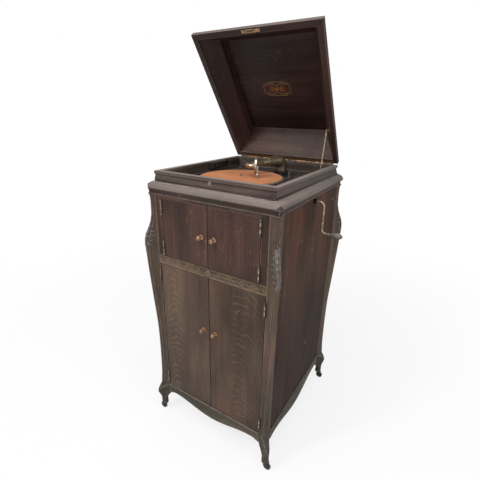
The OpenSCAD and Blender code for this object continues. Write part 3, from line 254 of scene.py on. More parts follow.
def grain_place(paint, grain, seed, lid, mitre):
    """The point's place with its last number along the grain. A mitred frame turns its grain."""
    spot = paint.here()
    if lid:
        turn = Matrix.Rotation(LID_ANGLE, 3, "X")
        sockets = {"Vector": spot, "Location": LID_HINGE - turn @ LID_HINGE}
        sockets["Rotation"] = (LID_ANGLE, 0, 0)
        spot = paint.node("ShaderNodeMapping", {}, sockets)
    x, y, z = paint.split(spot)
    if grain == "x":
        return paint.joined(y + seed, z, x)
    if grain == "z":
        return paint.joined(x + seed, y, z)
    side = (abs(x - CASE_MIDDLE.x) - abs(y - CASE_MIDDLE.y) + mitre) > 0
    along_it = x + side * (y - x)
    across = y + side * (x - y)
    return paint.joined(across + seed + side * 3.3, z, along_it + side * 5.1)


def curls(paint, spot):
    """Short curled strokes of ray fleck, where a slow pattern crosses its middle."""
    slow = paint.noise(paint.scaled(spot, CURLS), detail=2, warp=0.7)
    patches = paint.noise(paint.scaled(spot, CURL_PATCHES), detail=2).between(0.5, 0.62)
    return (1 - abs(slow - 0.5).between(0.0, 0.026)) * patches


def arches(paint, spot, middle, half_width, lean):
    """Arched ray figure up one side of a door, fading in and out."""
    x, _, z = paint.split(paint.here())
    sway = paint.noise(paint.scaled(spot, ARCH_SWAY), detail=3)
    across = (x - (CASE_MIDDLE.x + middle * MM)) / (half_width * MM)
    height = z + across * across * 0.034 + across * lean + sway * 0.075
    wide = height.waves(ARCH_STEP).between(0.35, 1.0)
    fine = height.waves(FINE_ARCH_STEP).between(-0.2, 1.0)
    window = (1 - abs(across)).between(0.0, 0.4)
    patches = paint.noise(paint.scaled(spot, ARCH_PATCHES), detail=2).between(0.38, 0.6)
    return (wide * 0.35 + wide * fine * 0.35) * window * patches


def oak(
    name, grain, deep=(0.026, 0.011, 0.008), light=(0.088, 0.041, 0.031), fleck=0.5, rough=0.42,
    wear=0.5, dust_and_top_light=0.35, lid=False, mitre=0.0, seed=0.0, gilt=False, worn=(0.3, 0.22, 0.18),
    arch=None, shine=0.25, tints=(), recess_shade=0.7,
):
    """Dark stained oak: growth streaks, pores, ray fleck, worn edges, a dusty grey with painted
    light on up-facing faces, and painted shade underneath and in recesses.

    The grain runs along x or z, or with None round a mitred frame. A tint is a low height, a high
    height and a colour, which multiplies the wood's below the first and is gone at the second.
    """
    paint = Paint(name)
    spot = grain_place(paint, grain, seed, lid, mitre)
    growth = paint.noise(paint.scaled(spot, GROWTH), detail=3, rough=0.6)
    streaks = paint.noise(paint.scaled(spot, STREAKS), detail=4, rough=0.7)
    blotches = paint.noise(paint.scaled(spot, BLOTCHES), detail=3)
    clouds = paint.noise(paint.scaled(spot, CLOUDS), detail=2)
    pores = paint.noise(paint.scaled(spot, PORES), detail=2).between(0.6, 0.72)
    flecks = curls(paint, spot) * fleck
    if arch:
        flecks = (flecks + arches(paint, spot, *arch)).at_most_one()

    tone = (growth * 0.5 + streaks * 0.5).between(0.27, 0.73)
    colour = paint.mix(tone, deep, light)
    colour = paint.times(colour, paint.mix(blotches.between(0.35, 0.68), *WARM_STAIN))
    colour = paint.times(colour, paint.mix(clouds.between(0.3, 0.7), *CLOUD_TONE))
    colour = paint.mix(flecks * 0.8, colour, shade(light, 1.9))
    colour = paint.mix(pores * 0.6, colour, shade(deep, 0.35))

    for low, high, tint in tints:
        under = 1 - paint.split(paint.here())[2].between(low * MM, high * MM)
        colour = paint.mix(under, colour, paint.times(colour, tint))

    chips = paint.noise(paint.scaled(spot, CHIPS), detail=3)
    rubbed = (paint.edges(WORN_EDGE) * chips.between(0.22, 0.58) * wear).at_most_one()
    scratches = paint.noise(paint.scaled(spot, SCRATCHES), detail=1, warp=0.8).between(0.7, 0.76)
    nicks = scratches * paint.noise(paint.here(), 7, 2).between(0.5, 0.6) * wear * 0.8
    colour = paint.mix(rubbed.or_more(nicks), colour, worn)
    if gilt:
        patches = paint.noise(paint.here(), 13, 2).between(0.5, 0.62)
        grit = paint.noise(paint.here(), 150, 3).between(0.35, 0.62)
        colour = paint.mix(patches * grit * 0.65, colour, OLD_GILT)

    upward = paint.split(paint.normal())[2]
    # Painted shade: faces that look down are darkened.
    colour = paint.mix((0 - upward).between(0.05, 0.75) * 0.55, colour, shade(deep, 0.5))
    # Dusty grey, with painted light, laid on faces that look up.
    dust_and_light_patches = 0.45 + paint.noise(paint.here(), 55, 5, 0.65) * 0.5
    dust_and_light_film = upward.between(0.35, 0.95) * dust_and_top_light * dust_and_light_patches
    colour = paint.mix(dust_and_light_film, colour, DUST_AND_TOP_LIGHT)
    # Painted shade in recesses and between parts, darker the more closed in they are.
    sockets = {"Distance": RECESS_SHADE_REACH}
    open_air = paint.node("ShaderNodeAmbientOcclusion", {"samples": 4}, sockets, "AO")
    colour = paint.mix((1 - open_air.between(0.3, 0.85)) * recess_shade, colour, shade(deep, 0.3))

    height = streaks * 0.35 - pores * 0.9 + flecks * 0.15 - nicks * 0.5
    normal = paint.bump(height, PORE_DEPTH, 0.6, paint.rounded(ROUND_EDGE))
    gloss = rough + 0.16 * blotches + 0.12 * streaks + dust_and_light_film * 0.15 - flecks * 0.08
    return paint.finish(
        Base_Color=colour, Roughness=gloss, Normal=normal, Specular_IOR_Level=shine
    )


GREYED = {"dust_and_top_light": 0.75, "recess_shade": 0.35, "rough": 0.36, "worn": (0.42, 0.35, 0.31)}
GREYED |= {"deep": (0.045, 0.03, 0.024), "light": (0.125, 0.088, 0.074)}
INSIDE = {"deep": (0.012, 0.006, 0.004), "light": (0.04, 0.023, 0.017), "wear": 0.15, "dust_and_top_light": 0.1}
LID_IN = {"deep": (0.022, 0.0098, 0.0075), "light": (0.078, 0.04, 0.032), "wear": 0.7}

wood = {
    "post": oak(
        "oak_post", "z", (0.04, 0.0245, 0.0165), (0.108, 0.07, 0.049), 0.2, wear=1.0, seed=1.7,
        dust_and_top_light=0.15, tints=((150, 520, (0.72, 0.92, 0.9)), (110, 190, (0.7, 0.74, 0.72))),
    ),
    "carving": oak(
        "oak_carving", "z", (0.03, 0.021, 0.018), (0.11, 0.085, 0.078), 0.0, wear=1.0, seed=1.7,
        worn=(0.37, 0.32, 0.32), tints=((90, 210, (0.5, 0.58, 0.56)),),
    ),
    "side": oak(
        "oak_side", "z", (0.029, 0.0128, 0.007), (0.087, 0.0395, 0.0218), 0.25, seed=3.1,
        shine=0.1, tints=((420, 900, (0.46, 0.4, 0.36)),),
    ),
    "back": oak("oak_back", "z", (0.022, 0.012, 0.008), (0.062, 0.036, 0.025), 0.1, seed=9.4),
    "frame": oak("oak_frame", "z", light=(0.078, 0.043, 0.03), fleck=0.2, wear=0.8, seed=4.9),
    "rail": oak(
        "oak_rail", "x", (0.045, 0.026, 0.015), (0.135, 0.082, 0.05), 0.0, wear=1.0, gilt=True
    ),
    "rail_carving": oak(
        "oak_rail_carving", "x", light=(0.115, 0.08, 0.055), wear=1.0, fleck=0.0, gilt=True
    ),
    "rail_bead": oak(
        "oak_rail_bead", "x", (0.09, 0.062, 0.042), (0.23, 0.165, 0.115), 0.0, wear=1.0,
        worn=(0.42, 0.34, 0.26),
    ),
    # The apron is darkened at its lowest edges, below z 112: painted shade.
    "apron": oak(
        "oak_apron", None, (0.03, 0.0225, 0.015), (0.1, 0.078, 0.054), mitre=0.03, wear=1.0,
        tints=((62, 112, (0.55, 0.56, 0.5)),), seed=2.2, worn=(0.36, 0.31, 0.25),
    ),
    # The cornice is darkened below its nose, under z 1031: painted shade, and a tone nearer the
    # frame's darker wood.
    "cornice": oak(
        "oak_cornice", None, mitre=0.03, wear=0.8,
        tints=((1027, 1031, (0.52, 0.44, 0.4)),), **GREYED
    ),
    # The rim is darkened below its beads, under z 1081.5: painted shade under their overhang.
    "rim": oak(
        "oak_rim", None, mitre=0.03, seed=6.0, wear=0.35,
        tints=((1079.5, 1081.5, (0.62, 0.62, 0.62)),),
        **(GREYED | {"deep": (0.062, 0.043, 0.036), "light": (0.175, 0.128, 0.112)})
    ),
    "board": oak(
        "oak_motor_board", "x", (0.01, 0.006, 0.005), (0.034, 0.022, 0.018), 0.3, dust_and_top_light=0.25
    ),
    "inner": oak("inner_wood", "x", rough=0.6, fleck=0.05, **INSIDE),
    "rack": oak("inner_wood_rack", "z", rough=0.6, fleck=0.05, seed=5.5, **INSIDE),
    "upper_left_door": oak(
        "oak_upper_left", "z", (0.036, 0.0165, 0.0125), (0.08, 0.037, 0.028), 0.9, seed=0.3
    ),
    "upper_right_door": oak(
        "oak_upper_right", "z", (0.029, 0.014, 0.0105), (0.07, 0.0335, 0.0255), 1.0, seed=7.7
    ),
    "lower_left_door": oak(
        "oak_lower_left", "z", (0.06, 0.037, 0.024), (0.108, 0.069, 0.046), 0.3, seed=2.9,
        arch=(-172, 46, -0.01),
    ),
    "lower_right_door": oak(
        "oak_lower_right", "z", (0.042, 0.024, 0.015), (0.086, 0.05, 0.032), 0.3, seed=8.8,
        arch=(150, 62, 0.02),
    ),
    # The lid's boards are lightened below z 1200, by its hinge: painted light.
    "lid": oak(
        "dark_oak_lid", None, lid=True, mitre=0.03, fleck=0.2, rough=0.36, dust_and_top_light=0.5,
        tints=((1150, 1200, (1.6, 1.65, 1.65)),), **LID_IN
    ),
    "lid_panel": oak(
        "dark_oak_panel", "x", lid=True, fleck=0.8, rough=0.34, dust_and_top_light=0.2, seed=5.2,
        arch=(-182, 46, 0.05), **LID_IN
    ),
    "handle": oak("handle_wood", "x", (0.06, 0.044, 0.04), (0.19, 0.15, 0.14)),
}

# ---- metal, felt and the rest

METAL_GRIME = (0.03, 0.022, 0.015)
NEAR_BLACK = (0.022, 0.018, 0.015)


def metal(name, bright, dull, rough, tarnish, metallic=1.0, black=None):
    """Old bare or plated metal: dull patches, fine scratches, dark specks of dirt and bright worn
    edges.

    With black, a pair of y, it turns black from the first to the second.
    """
    paint = Paint(name)
    spot = paint.here()
    clouds = paint.noise(spot, 85, 4, 0.65).between(0.62 - tarnish * 0.4, 0.8 - tarnish * 0.25)
    specks = paint.noise(spot, 620, 3, 0.6).between(0.6, 0.72)
    hairs = paint.noise(paint.scaled(spot, (2600, 260, 700)), detail=2)
    colour = paint.mix(clouds * 0.9, bright, dull)
    colour = paint.mix(specks * tarnish * 0.8, colour, METAL_GRIME)
    colour = paint.mix(paint.edges(0.0009) * 0.45, colour, shade(bright, 1.25))
    if black:
        behind = (paint.split(spot)[1] - CASE_MIDDLE.y).between(black[0] * MM, black[1] * MM)
        colour = paint.mix(behind, colour, NEAR_BLACK)
    gloss = rough + clouds * 0.22 + specks * 0.15 + hairs * 0.1
    normal = paint.bump(hairs * 0.4 + specks * 0.6 + clouds * 0.3, 0.00012, 0.6)
    kept = metallic - clouds * 0.15 - specks * 0.2
    return paint.finish(Base_Color=colour, Roughness=gloss, Metallic=kept, Normal=normal)


def felt_cloth(name):
    """Orange-brown wool felt, faded and rubbed, with a short nap."""
    paint = Paint(name)
    spot = paint.here()
    fibres = paint.noise(paint.scaled(spot, (1, 1, 0.6)), 1500, 3, 0.7)
    tufts = paint.noise(spot, 420, 3, 0.6)
    fade = paint.noise(spot, 13, 4, 0.6)
    stains = paint.noise(spot, 46, 3).between(0.6, 0.74)
    colour = paint.mix(fade.between(0.3, 0.7), (0.285, 0.092, 0.023), (0.385, 0.13, 0.042))
    colour = paint.mix(tufts.between(0.35, 0.7) * 0.35, colour, (0.52, 0.22, 0.09))
    colour = paint.mix(stains * 0.35, colour, (0.16, 0.055, 0.025))
    normal = paint.bump(fibres * 0.6 + tufts * 0.5, 0.0005, 0.8)
    return paint.finish(
        Base_Color=colour, Roughness=0.95, Normal=normal, Specular_IOR_Level=0.15,
        Sheen_Weight=0.12, Sheen_Roughness=0.5,
    )


def rubber(name):
    """Hard black rubber, scuffed grey, for the caster treads and the soundbox's gasket."""
    paint = Paint(name)
    scuffs = paint.noise(paint.here(), 230, 4, 0.7).between(0.45, 0.7)
    colour = paint.mix(scuffs, (0.012, 0.011, 0.01), (0.075, 0.068, 0.06))
    normal = paint.bump(scuffs, 0.0002, 0.5)
    return paint.finish(Base_Color=colour, Roughness=0.5 + scuffs * 0.3, Normal=normal)


def mica(name):
    """Clear-brown mica of the soundbox, flaky under its surface."""
    paint = Paint(name)
    spot = paint.here()
    sockets = {"Vector": spot, "Scale": 260, "Randomness": 1}
    flakes = paint.node("ShaderNodeTexVoronoi", {}, sockets)
    veil = paint.noise(spot, 190, 4, 0.6)
    colour = paint.mix(veil, (0.1, 0.085, 0.06), (0.33, 0.3, 0.24))
    normal = paint.bump(flakes, 0.0001, 0.4)
    return paint.finish(Base_Color=colour, Roughness=0.12 + veil * 0.2, Normal=normal, IOR=1.58)


def transfer(name, low, high):
    """Thin old colour of a transfer, rubbed through in places."""
    paint = Paint(name)
    spot = paint.here()
    worn_off = paint.noise(spot, 240, 3, 0.7).between(0.44, 0.62)
    tone = paint.mix(paint.noise(spot, 90, 2), low, high)
    colour = paint.mix(worn_off * 0.55, tone, (0.02, 0.01, 0.007))
    return paint.finish(Base_Color=colour, Roughness=0.45 + worn_off * 0.2, Specular_IOR_Level=0.2)


WORN_NICKEL = (0.52, 0.41, 0.27), (0.17, 0.135, 0.09), 0.28, 0.7

brass = metal("brass", (0.52, 0.32, 0.17), (0.19, 0.115, 0.072), 0.3, 0.7)
copper_brass = metal("brass_neck", (0.52, 0.36, 0.23), (0.2, 0.145, 0.085), 0.34, 0.6)
pale_brass = metal("brass_pale", (0.43, 0.34, 0.27), (0.22, 0.17, 0.135), 0.38, 0.4)
plate_brass = metal(
    "brass_plate", (0.42, 0.36, 0.3), (0.19, 0.155, 0.13), 0.36, 0.5, black=(-230, -180)
)
old_brass = metal("brass_dark", (0.34, 0.29, 0.23), (0.075, 0.055, 0.04), 0.36, 0.8)
nickel = metal("nickel", (0.5, 0.46, 0.4), (0.17, 0.15, 0.125), 0.26, 0.6)
aged_nickel = metal("nickel_worn", *WORN_NICKEL)
# The arm turns black from y 128 to y 158, at the rear of its elbow: painted shade.
arm_nickel = metal("nickel_arm", *WORN_NICKEL, black=(128, 158))
steel = metal("steel", (0.42, 0.41, 0.4), (0.17, 0.16, 0.15), 0.32, 0.4)
black_iron = metal("black_iron", (0.022, 0.021, 0.02), (0.05, 0.043, 0.036), 0.5, 0.5, 0.35)
felt = felt_cloth("felt")
caster_rubber = rubber("caster_tread")
clear_mica = mica("mica")
gold_transfer = transfer("gold_transfer", (0.46, 0.27, 0.07), (0.6, 0.38, 0.13))
red_transfer = transfer("red_transfer", (0.4, 0.075, 0.028), (0.52, 0.15, 0.06))

CORNERS = ("front_left", "front_right", "rear_left", "rear_right")
DOORS = ("upper_left_door", "upper_right_door", "lower_left_door", "lower_right_door")
FINISHES = {wood[door]: door for door in DOORS} | {
    wood["post"]: "front_posts rear_posts",
    wood["side"]: "side_panels",
    wood["back"]: "back_panel",
    wood["frame"]: "front_frame",
    wood["rail"]: "carved_rail",
    wood["apron"]: "aprons",
    wood["cornice"]: "cornice",
    wood["rim"]: "top_rim",
    wood["board"]: "motor_board",
    wood["inner"]: "bottom_board horn_shelf needle_box needle_tray",
    wood["rack"]: "record_rack",
    wood["lid"]: "lid_boards",
    wood["lid_panel"]: "lid_top_panel",
    wood["handle"]: "crank_handle",
    brass: "upper_left_knob upper_right_knob lower_left_knob lower_right_knob "
    "lid_fittings stay_track speed_dial",
    old_brass: "upper_left_hinges lower_left_hinges fixed_hinge_leaves",
    pale_brass: "upper_right_hinges lower_right_hinges hinge_pins",
    plate_brass: "escutcheons",
    nickel: "platter spindle soundbox brake_lever",
    aged_nickel: "crank lid_stay",
    arm_nickel: "tonearm_tube",
    copper_brass: "gooseneck",
    steel: "winding_wheel governor",
    black_iron: "horn horn_throat motor_frame spring_barrel tonearm_bracket "
    + " ".join(f"caster_fork_{corner}" for corner in CORNERS),
    felt: "felt",
    caster_rubber: " ".join(f"caster_wheel_{corner}" for corner in CORNERS),
}

for finish, names in FINISHES.items():
    for name in names.split():
        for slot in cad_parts[name].material_slots:
            slot.link = "OBJECT"
            slot.material = finish

# ---- making pieces


def linked(name, data):
    """Data in the scene, as an object."""
    made = bpy.data.objects.new(name, data)
    bpy.context.scene.collection.objects.link(made)
    return made


def mesh_of(name, shape):
    """A finished bmesh as mesh data."""
    mesh = bpy.data.meshes.new(name)
    shape.to_mesh(mesh)
    shape.free()
    return mesh


def ridden(name, data, material, body):
    """A piece in its material, riding on a body."""
    made = linked(name, data)
    data.materials.append(material)
    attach(made, body)
    return made


def piece(name, shape, material, body, smooth=40):
    """A bmesh as a piece. Edges that turn less than smooth degrees look round."""
    bmesh.ops.remove_doubles(shape, verts=shape.verts, dist=1e-6)
    bmesh.ops.recalc_face_normals(shape, faces=shape.faces)
    for face in shape.faces:
        face.smooth = True
    for edge in shape.edges:
        edge.smooth = edge.calc_face_angle(math.pi) < math.radians(smooth)
    return ridden(name, mesh_of(name, shape), material, body)


def strokes(name, runs, material, body, rounds=3):
    """Rounded ridges of carving. Each run is a list of points with a half width, in metres."""
    curve = bpy.data.curves.new(name, "CURVE")
    curve.dimensions = "3D"
    curve.bevel_depth = 1.0
    curve.bevel_resolution = rounds
    curve.use_fill_caps = True
    for run in runs:
        spline = curve.splines.new("POLY")
        spline.points.add(len(run) - 1)
        for point, (spot, half_width) in zip(spline.points, run):
            point.co = (*spot, 1)
            point.radius = half_width
    return ridden(name, curve, material, body)


def merge(part, shape):
    """Move the faces of one bmesh into another."""
    mesh = mesh_of("part", part)
    shape.from_mesh(mesh)
    bpy.data.meshes.remove(mesh)


def closed_line(shape, spots):
    """Points and edges of a closed line through some spots."""
    points = [shape.verts.new(spot) for spot in spots]
    return points, [shape.edges.new(pair) for pair in zip(points, points[1:] + points[:1])]


def lathe(shape, spots, middle, steps):
    """Spin a closed line through some spots round an upright axis."""
    points, edges = closed_line(shape, spots)
    bmesh.ops.spin(
        shape, geom=points + edges, cent=middle, axis=(0, 0, 1), angle=math.tau, steps=steps,
        use_merge=True,
    )


def sweep(shape, stations, closed=False):
    """Carry a closed section through its stations, each a ring of as many points."""
    ring, edges = closed_line(shape, stations[0])
    if not closed:
        bmesh.ops.contextual_create(shape, geom=edges)
    for station in stations[1:] + (stations[:1] if closed else []):
        grown = bmesh.ops.extrude_edge_only(shape, edges=edges)["geom"]
        fresh = {part for part in grown if isinstance(part, bmesh.types.BMVert)}
        nearby = [[edge.other_vert(old) for edge in old.link_edges] for old in ring]
        ring = [next(vertex for vertex in near if vertex in fresh) for near in nearby]
        edges = [shape.edges.get(pair) for pair in zip(ring, ring[1:] + ring[:1])]
        for vertex, spot in zip(ring, station):
            vertex.co = spot
    if not closed:
        bmesh.ops.contextual_create(shape, geom=edges)


def shares(steps):
    """Even shares from 0 to 1."""
    return [i / steps for i in range(steps + 1)]


def evenly(start, end, steps):
    """Even steps from start, the last of them a step before end."""
    return [start + (end - start) * i / steps for i in range(steps)]


def ease(t):
    """A smooth rise from 0 at 0 to 1 at 1, flat outside them."""
    t = min(max(t, 0), 1)
    return t * t * (3 - 2 * t)


def along(points, t):
    """Height at t of a smooth line through some points."""
    i = max(k for k in range(len(points) - 1) if k == 0 or points[k][0] <= t)

    def slope(k):
        (x0, y0), (x1, y1) = points[max(k - 1, 0)], points[min(k + 1, len(points) - 1)]
        return (y1 - y0) / (x1 - x0)

    (x0, y0), (x1, y1) = points[i], points[i + 1]
    h = x1 - x0
    u = (t - x0) / h
    rise = u * u * (3 - 2 * u)
    return y0 + rise * (y1 - y0) + h * u * (1 - u) * ((1 - u) * slope(i) - u * slope(i + 1))


def arc(x, z, r, start, end, steps):
    """Points round a centre, between two angles in degrees."""
    turns = [math.radians(start + (end - start) * i / steps) for i in range(steps + 1)]
    return [(x + r * math.cos(a), z + r * math.sin(a)) for a in turns]


def surface_of(made):
    """Something to drop points on: the faces of a finished piece."""
    copy = bmesh.new()
    copy.from_mesh(made.data)
    tree = BVHTree.FromBMesh(copy)
    copy.free()
    return tree


def taper(s):
    """A carver's stroke: quickly full, then thinning to its end."""
    return min(1, 0.35 + 3.2 * s) * (1 - s) ** 0.55 + 0.12


# ---- screws


def facing(spot, out):
    """A frame at a spot, its own Z facing out."""
    return Matrix.Translation(spot) @ out.to_track_quat("Z", "Y").to_matrix().to_4x4()


def add_screw(shape, spot, out, radius, turn):
    """A slotted, domed screw head standing on spot and facing out, on a thin foot."""
    height = radius * 0.42
    half_slot = radius * 0.16
    for half in (0, 1):
        head = bmesh.new()
        bmesh.ops.create_cone(
            head, cap_ends=True, segments=20, radius1=radius, radius2=radius * 0.62, depth=height
        )
        cut = bmesh.ops.bisect_plane(
            head, geom=head.verts[:] + head.edges[:] + head.faces[:], plane_co=(half_slot, 0, 0),
            plane_no=(-1, 0, 0), clear_outer=True,
        )
        edges = [part for part in cut["geom_cut"] if isinstance(part, bmesh.types.BMEdge)]
        bmesh.ops.contextual_create(head, geom=edges)
        place_it = facing(spot + out * height * 0.5, out)
        place_it @= Matrix.Rotation(turn + half * math.pi, 4, "Z")
        bmesh.ops.transform(head, matrix=place_it, verts=head.verts)
        merge(head, shape)
    bmesh.ops.create_cone(
        shape, cap_ends=True, segments=20, radius1=radius * 0.98, radius2=radius * 0.9,
        depth=height * 0.3, matrix=facing(spot + out * height * 0.12, out),
    )


def screws(name, spots, out, radius, material, body):
    """Screw heads as one piece, each with its slot turned another way."""
    shape = bmesh.new()
    for number, spot in enumerate(spots):
        add_screw(shape, spot, out, radius, 0.4 + 0.9 * number)
    return piece(name, shape, material, body, 30)


# ---- corner posts

POST = (227, 252)  # inner corner of a post
POST_W, POST_D = 28, 33  # its width and depth inside the case's faces
CORNER_R = 10
FACE_STEP = 5  # upright part of a post's faces, next to the case
GROOVES = (6.5, 5.2, 2.8, 1.4)  # edges and bottom of a groove, from the round corner
FOOT_Z = 45.3
PAD_Z = 35.3
PAD_BORE = 4.3
KNEE_Z = 110
ROUND_FOOT = 18  # how much of the leg's foot is quite round
ANKLE = (33.5, 38)  # middle of the leg's foot, from the post's inner corner
ANKLE_R = 14
SWELL_Z = (780, 940)
LEAF_Z = (792, 934)
# How far the corner stands out, by the share of the leg's and the shaft's height.
LEG_OUT = ((0, 20), (0.15, 20), (0.42, 25.5), (0.6, 27), (0.85, 20), (1, 14))
SHAFT_OUT = (
    (0, 14), (0.09, 10), (0.33, 9), (0.52, 15.5), (0.68, 21.5), (0.75, 23), (0.79, 22.5),
    (0.82, 18.5), (0.845, 12), (0.88, 4.5), (0.92, 2), (0.975, 1.5), (0.99, 2.5), (1, 6),
)
CORNER_TURNS = [7.5 * i for i in range(13)]  # points of the round corner, in degrees
# Where each point of a post's section goes on the round foot, in degrees.
FOOT_TURNS = [225, 300, 330, 336, 342, 348, 354, *CORNER_TURNS, 96, 102, 108, 114, 120, 150]


def post_out(z):
    """How far the post's corner stands out at a height."""
    if z < APRON_TOP:
        return along(LEG_OUT, (z - FOOT_Z) / (APRON_TOP - FOOT_Z))
    return along(SHAFT_OUT, (z - APRON_TOP) / (CASE_TOP - APRON_TOP))


def post_ring(z):
    """The post's section: two faces, a groove in each, and a round corner between them."""
    out = post_out(z)
    groove = 2.6 * ease((z - APRON_TOP - 8) / 30) * ease((CASE_TOP - 8 - z) / 12)
    leaf_share = min(max((z - LEAF_Z[0]) / (LEAF_Z[1] - LEAF_Z[0]), 0), 1)
    leaf = math.sin(math.pi * leaf_share) ** 0.6
    reach_x, reach_y = POST_W + out, POST_D + out
    ring = [(0, 0), (POST_W, 0), (POST_W, FACE_STEP)]
    spans = list(zip(GROOVES, (0, groove, groove, 0)))
    for gone, sunk in spans:
        lean = out * gone / (reach_y - CORNER_R - FACE_STEP)
        ring.append((reach_x - lean - sunk, reach_y - CORNER_R - gone))
    for i, turn in enumerate(CORNER_TURNS):
        a = math.radians(turn)
        lobe = 1 + 0.35 * math.cos(math.tau * (z / 21 + abs(i / 6 - 1) * 0.8))
        d = CORNER_R + 1.7 * leaf * lobe
        ring.append((reach_x - CORNER_R + d * math.cos(a), reach_y - CORNER_R + d * math.sin(a)))
    for gone, sunk in reversed(spans):
        lean = out * gone / (reach_x - CORNER_R - FACE_STEP)
        ring.append((reach_x - CORNER_R - gone, reach_y - lean - sunk))
    ring += [(FACE_STEP, POST_D), (0, POST_D)]
    round_share = 1 - ease((z - FOOT_Z - ROUND_FOOT) / (KNEE_Z - FOOT_Z - ROUND_FOOT))
    mixed = []
    for (x, y), turn in zip(ring, FOOT_TURNS):
        a = math.radians(turn)
        x += (ANKLE[0] + ANKLE_R * math.cos(a) - x) * round_share
        y += (ANKLE[1] + ANKLE_R * math.sin(a) - y) * round_share
        mixed.append((POST[0] + x, POST[1] + y))
    return mixed


def post_heights():
    """Heights of the post's sections, closest at its swell."""
    low, high = SWELL_Z
    leg = evenly(FOOT_Z, APRON_TOP, 22)
    shaft = evenly(APRON_TOP, low, 44)
    return leg + shaft + evenly(low, high, 56) + evenly(high, CASE_TOP, 16) + [CASE_TOP]


def pad_profile():
    """The turned pad of a caster, as radius and height, with a bore for its stem."""
    profile = [(PAD_BORE, PAD_Z), (ANKLE_R - 1.6, PAD_Z)]
    profile += arc(ANKLE_R - 1.6, PAD_Z + 2, 2, -80, 0, 4)
    profile += [(ANKLE_R - 0.4, FOOT_Z - 3), *arc(ANKLE_R - 1.4, FOOT_Z - 1, 1.4, -60, 60, 6)]
    return profile + [(PAD_BORE, FOOT_Z + 0.6)]


def corner_posts(shape, y_side):
    """A left and a right post, each with the turned pad of its caster."""
    for x_side in (-1, 1):
        rings = [
            [place(x * x_side, y * y_side, z) for x, y in post_ring(z)] for z in post_heights()
        ]
        sweep(shape, rings)
        middle = place((POST[0] + ANKLE[0]) * x_side, (POST[1] + ANKLE[1]) * y_side, 0)
        lathe(shape, [middle + Vector((r, 0, z)) * MM for r, z in pad_profile()], middle, 40)


def corner_of(tree, x_side, y_side):
    """A function that finds points on a post, across its corner, up it and sunk in it."""
    out = Vector((x_side, y_side, 0)).normalized()
    side = Vector((-out.y, out.x, 0))
    corner = place(x_side * SIDE_X, y_side * FACE_Y, 0)

    def on_post(u, z, sink):
        start = corner + side * u * MM + Vector((0, 0, z * MM)) + out * 0.08
        hit, _, _, _ = tree.ray_cast(start, -out)
        return (hit if hit else start - out * 0.09) - out * sink * MM

    return on_post


def midrib(on_post, foot, height, steps, swell, sink):
    """A carved rib straight up the corner, thickest halfway."""
    heights = [foot + height * i / steps for i in range(steps + 1)]
    widths = [MM * (0.8 + swell * math.sin(math.pi * i / steps)) for i in range(steps + 1)]
    return [(on_post(0, z, sink), width) for z, width in zip(heights, widths)]


LEAF_TIERS = 7
LEAF_VEINS = ((1.0, 10, 1.7), (0.82, 18, 2.1), (0.52, 24, 1.8), (0.24, 27, 1.3))
RIB_SINK = 0.4
VEIN_SINK = 1.1
KNEE_SINK = 1.5
CURL_FROM = 0.66  # share of a vein after which it curls back


def post_leaf(on_post):
    """Acanthus leaf over the swell of a post: a midrib and curled side lobes."""
    low, high = LEAF_Z
    runs = [midrib(on_post, low - 8, high - low + 4, 29, 1.3, RIB_SINK)]
    for tier in range(LEAF_TIERS):
        reach = 6.5 + 6.5 * math.sin(math.pi * (tier + 0.8) / (LEAF_TIERS + 0.6))
        for hand in (-1, 1):
            root = low + 2 + 17.5 * tier + 2.5 * hand
            for spread, rise, width in LEAF_VEINS:
                run = []
                for s in shares(14):
                    curl = max(0, s - CURL_FROM) / 0.34
                    bow = math.sin(math.pi * 0.5 * min(1, 1.3 * s)) - 0.16 * curl * curl
                    z = root + rise * (s ** 0.8 - 0.42 * curl * curl)
                    half_width = MM * width * (0.45 + 0.75 * s) * (1 - 0.55 * curl ** 3)
                    run.append((on_post(hand * reach * spread * bow, z, VEIN_SINK), half_width))
                runs.append(run)
    return runs


def knee_scroll(on_post):
    """Small carved leaf where the apron runs into the leg."""
    runs = [midrib(on_post, 96, 62, 15, 1.5, KNEE_SINK)]
    for hand in (-1, 1):
        for vein in range(5):
            run = []
            for s in shares(11):
                u = hand * (5 + 3.2 * vein) * math.sin(math.pi * 0.72 * s)
                half_width = MM * (2.1 - 0.2 * vein) * taper(s)
                run.append((on_post(u, 98 + 9 * vein + 30 * s, KNEE_SINK), half_width))
            runs.append(run)
    return runs


for y_side, y_name in ((-1, "front"), (1, "rear")):
    shape = bmesh.new()
    corner_posts(shape, y_side)
    posts = piece(f"{y_name}_corner_posts", shape, wood["post"], "cabinet", 32)
    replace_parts(posts, f"{y_name}_posts")
    tree = surface_of(posts)
    for x_side, x_name in ((-1, "left"), (1, "right")):
        on_post = corner_of(tree, x_side, y_side)
        runs = post_leaf(on_post) + knee_scroll(on_post)
        strokes(f"leaf_carving_{y_name}_{x_name}", runs, wood["carving"], "cabinet")

# ---- cornice and rim

CORNICE_CANT = 20  # how much is cut off the cornice's corners
CANT_REACH = 12  # how far its nose stands out


def round_case(half_x, half_y, section, cant=0.0, reach=0.0):
    """A moulding round the case, mitred at its corners, or cut across them as far out as reach."""
    stations = []
    for x_side, y_side in ((1, -1), (1, 1), (-1, 1), (-1, -1)):
        first, second = [], []
        for u, z in section:
            cut = max(0, cant - 2 * (reach - u))
            first.append(place(x_side * (half_x + u - cut), y_side * (half_y + u), z))
            second.append(place(x_side * (half_x + u), y_side * (half_y + u - cut), z))
        if x_side == y_side:
            first, second = second, first
        stations += [first, second] if cant else [first]
    return stations


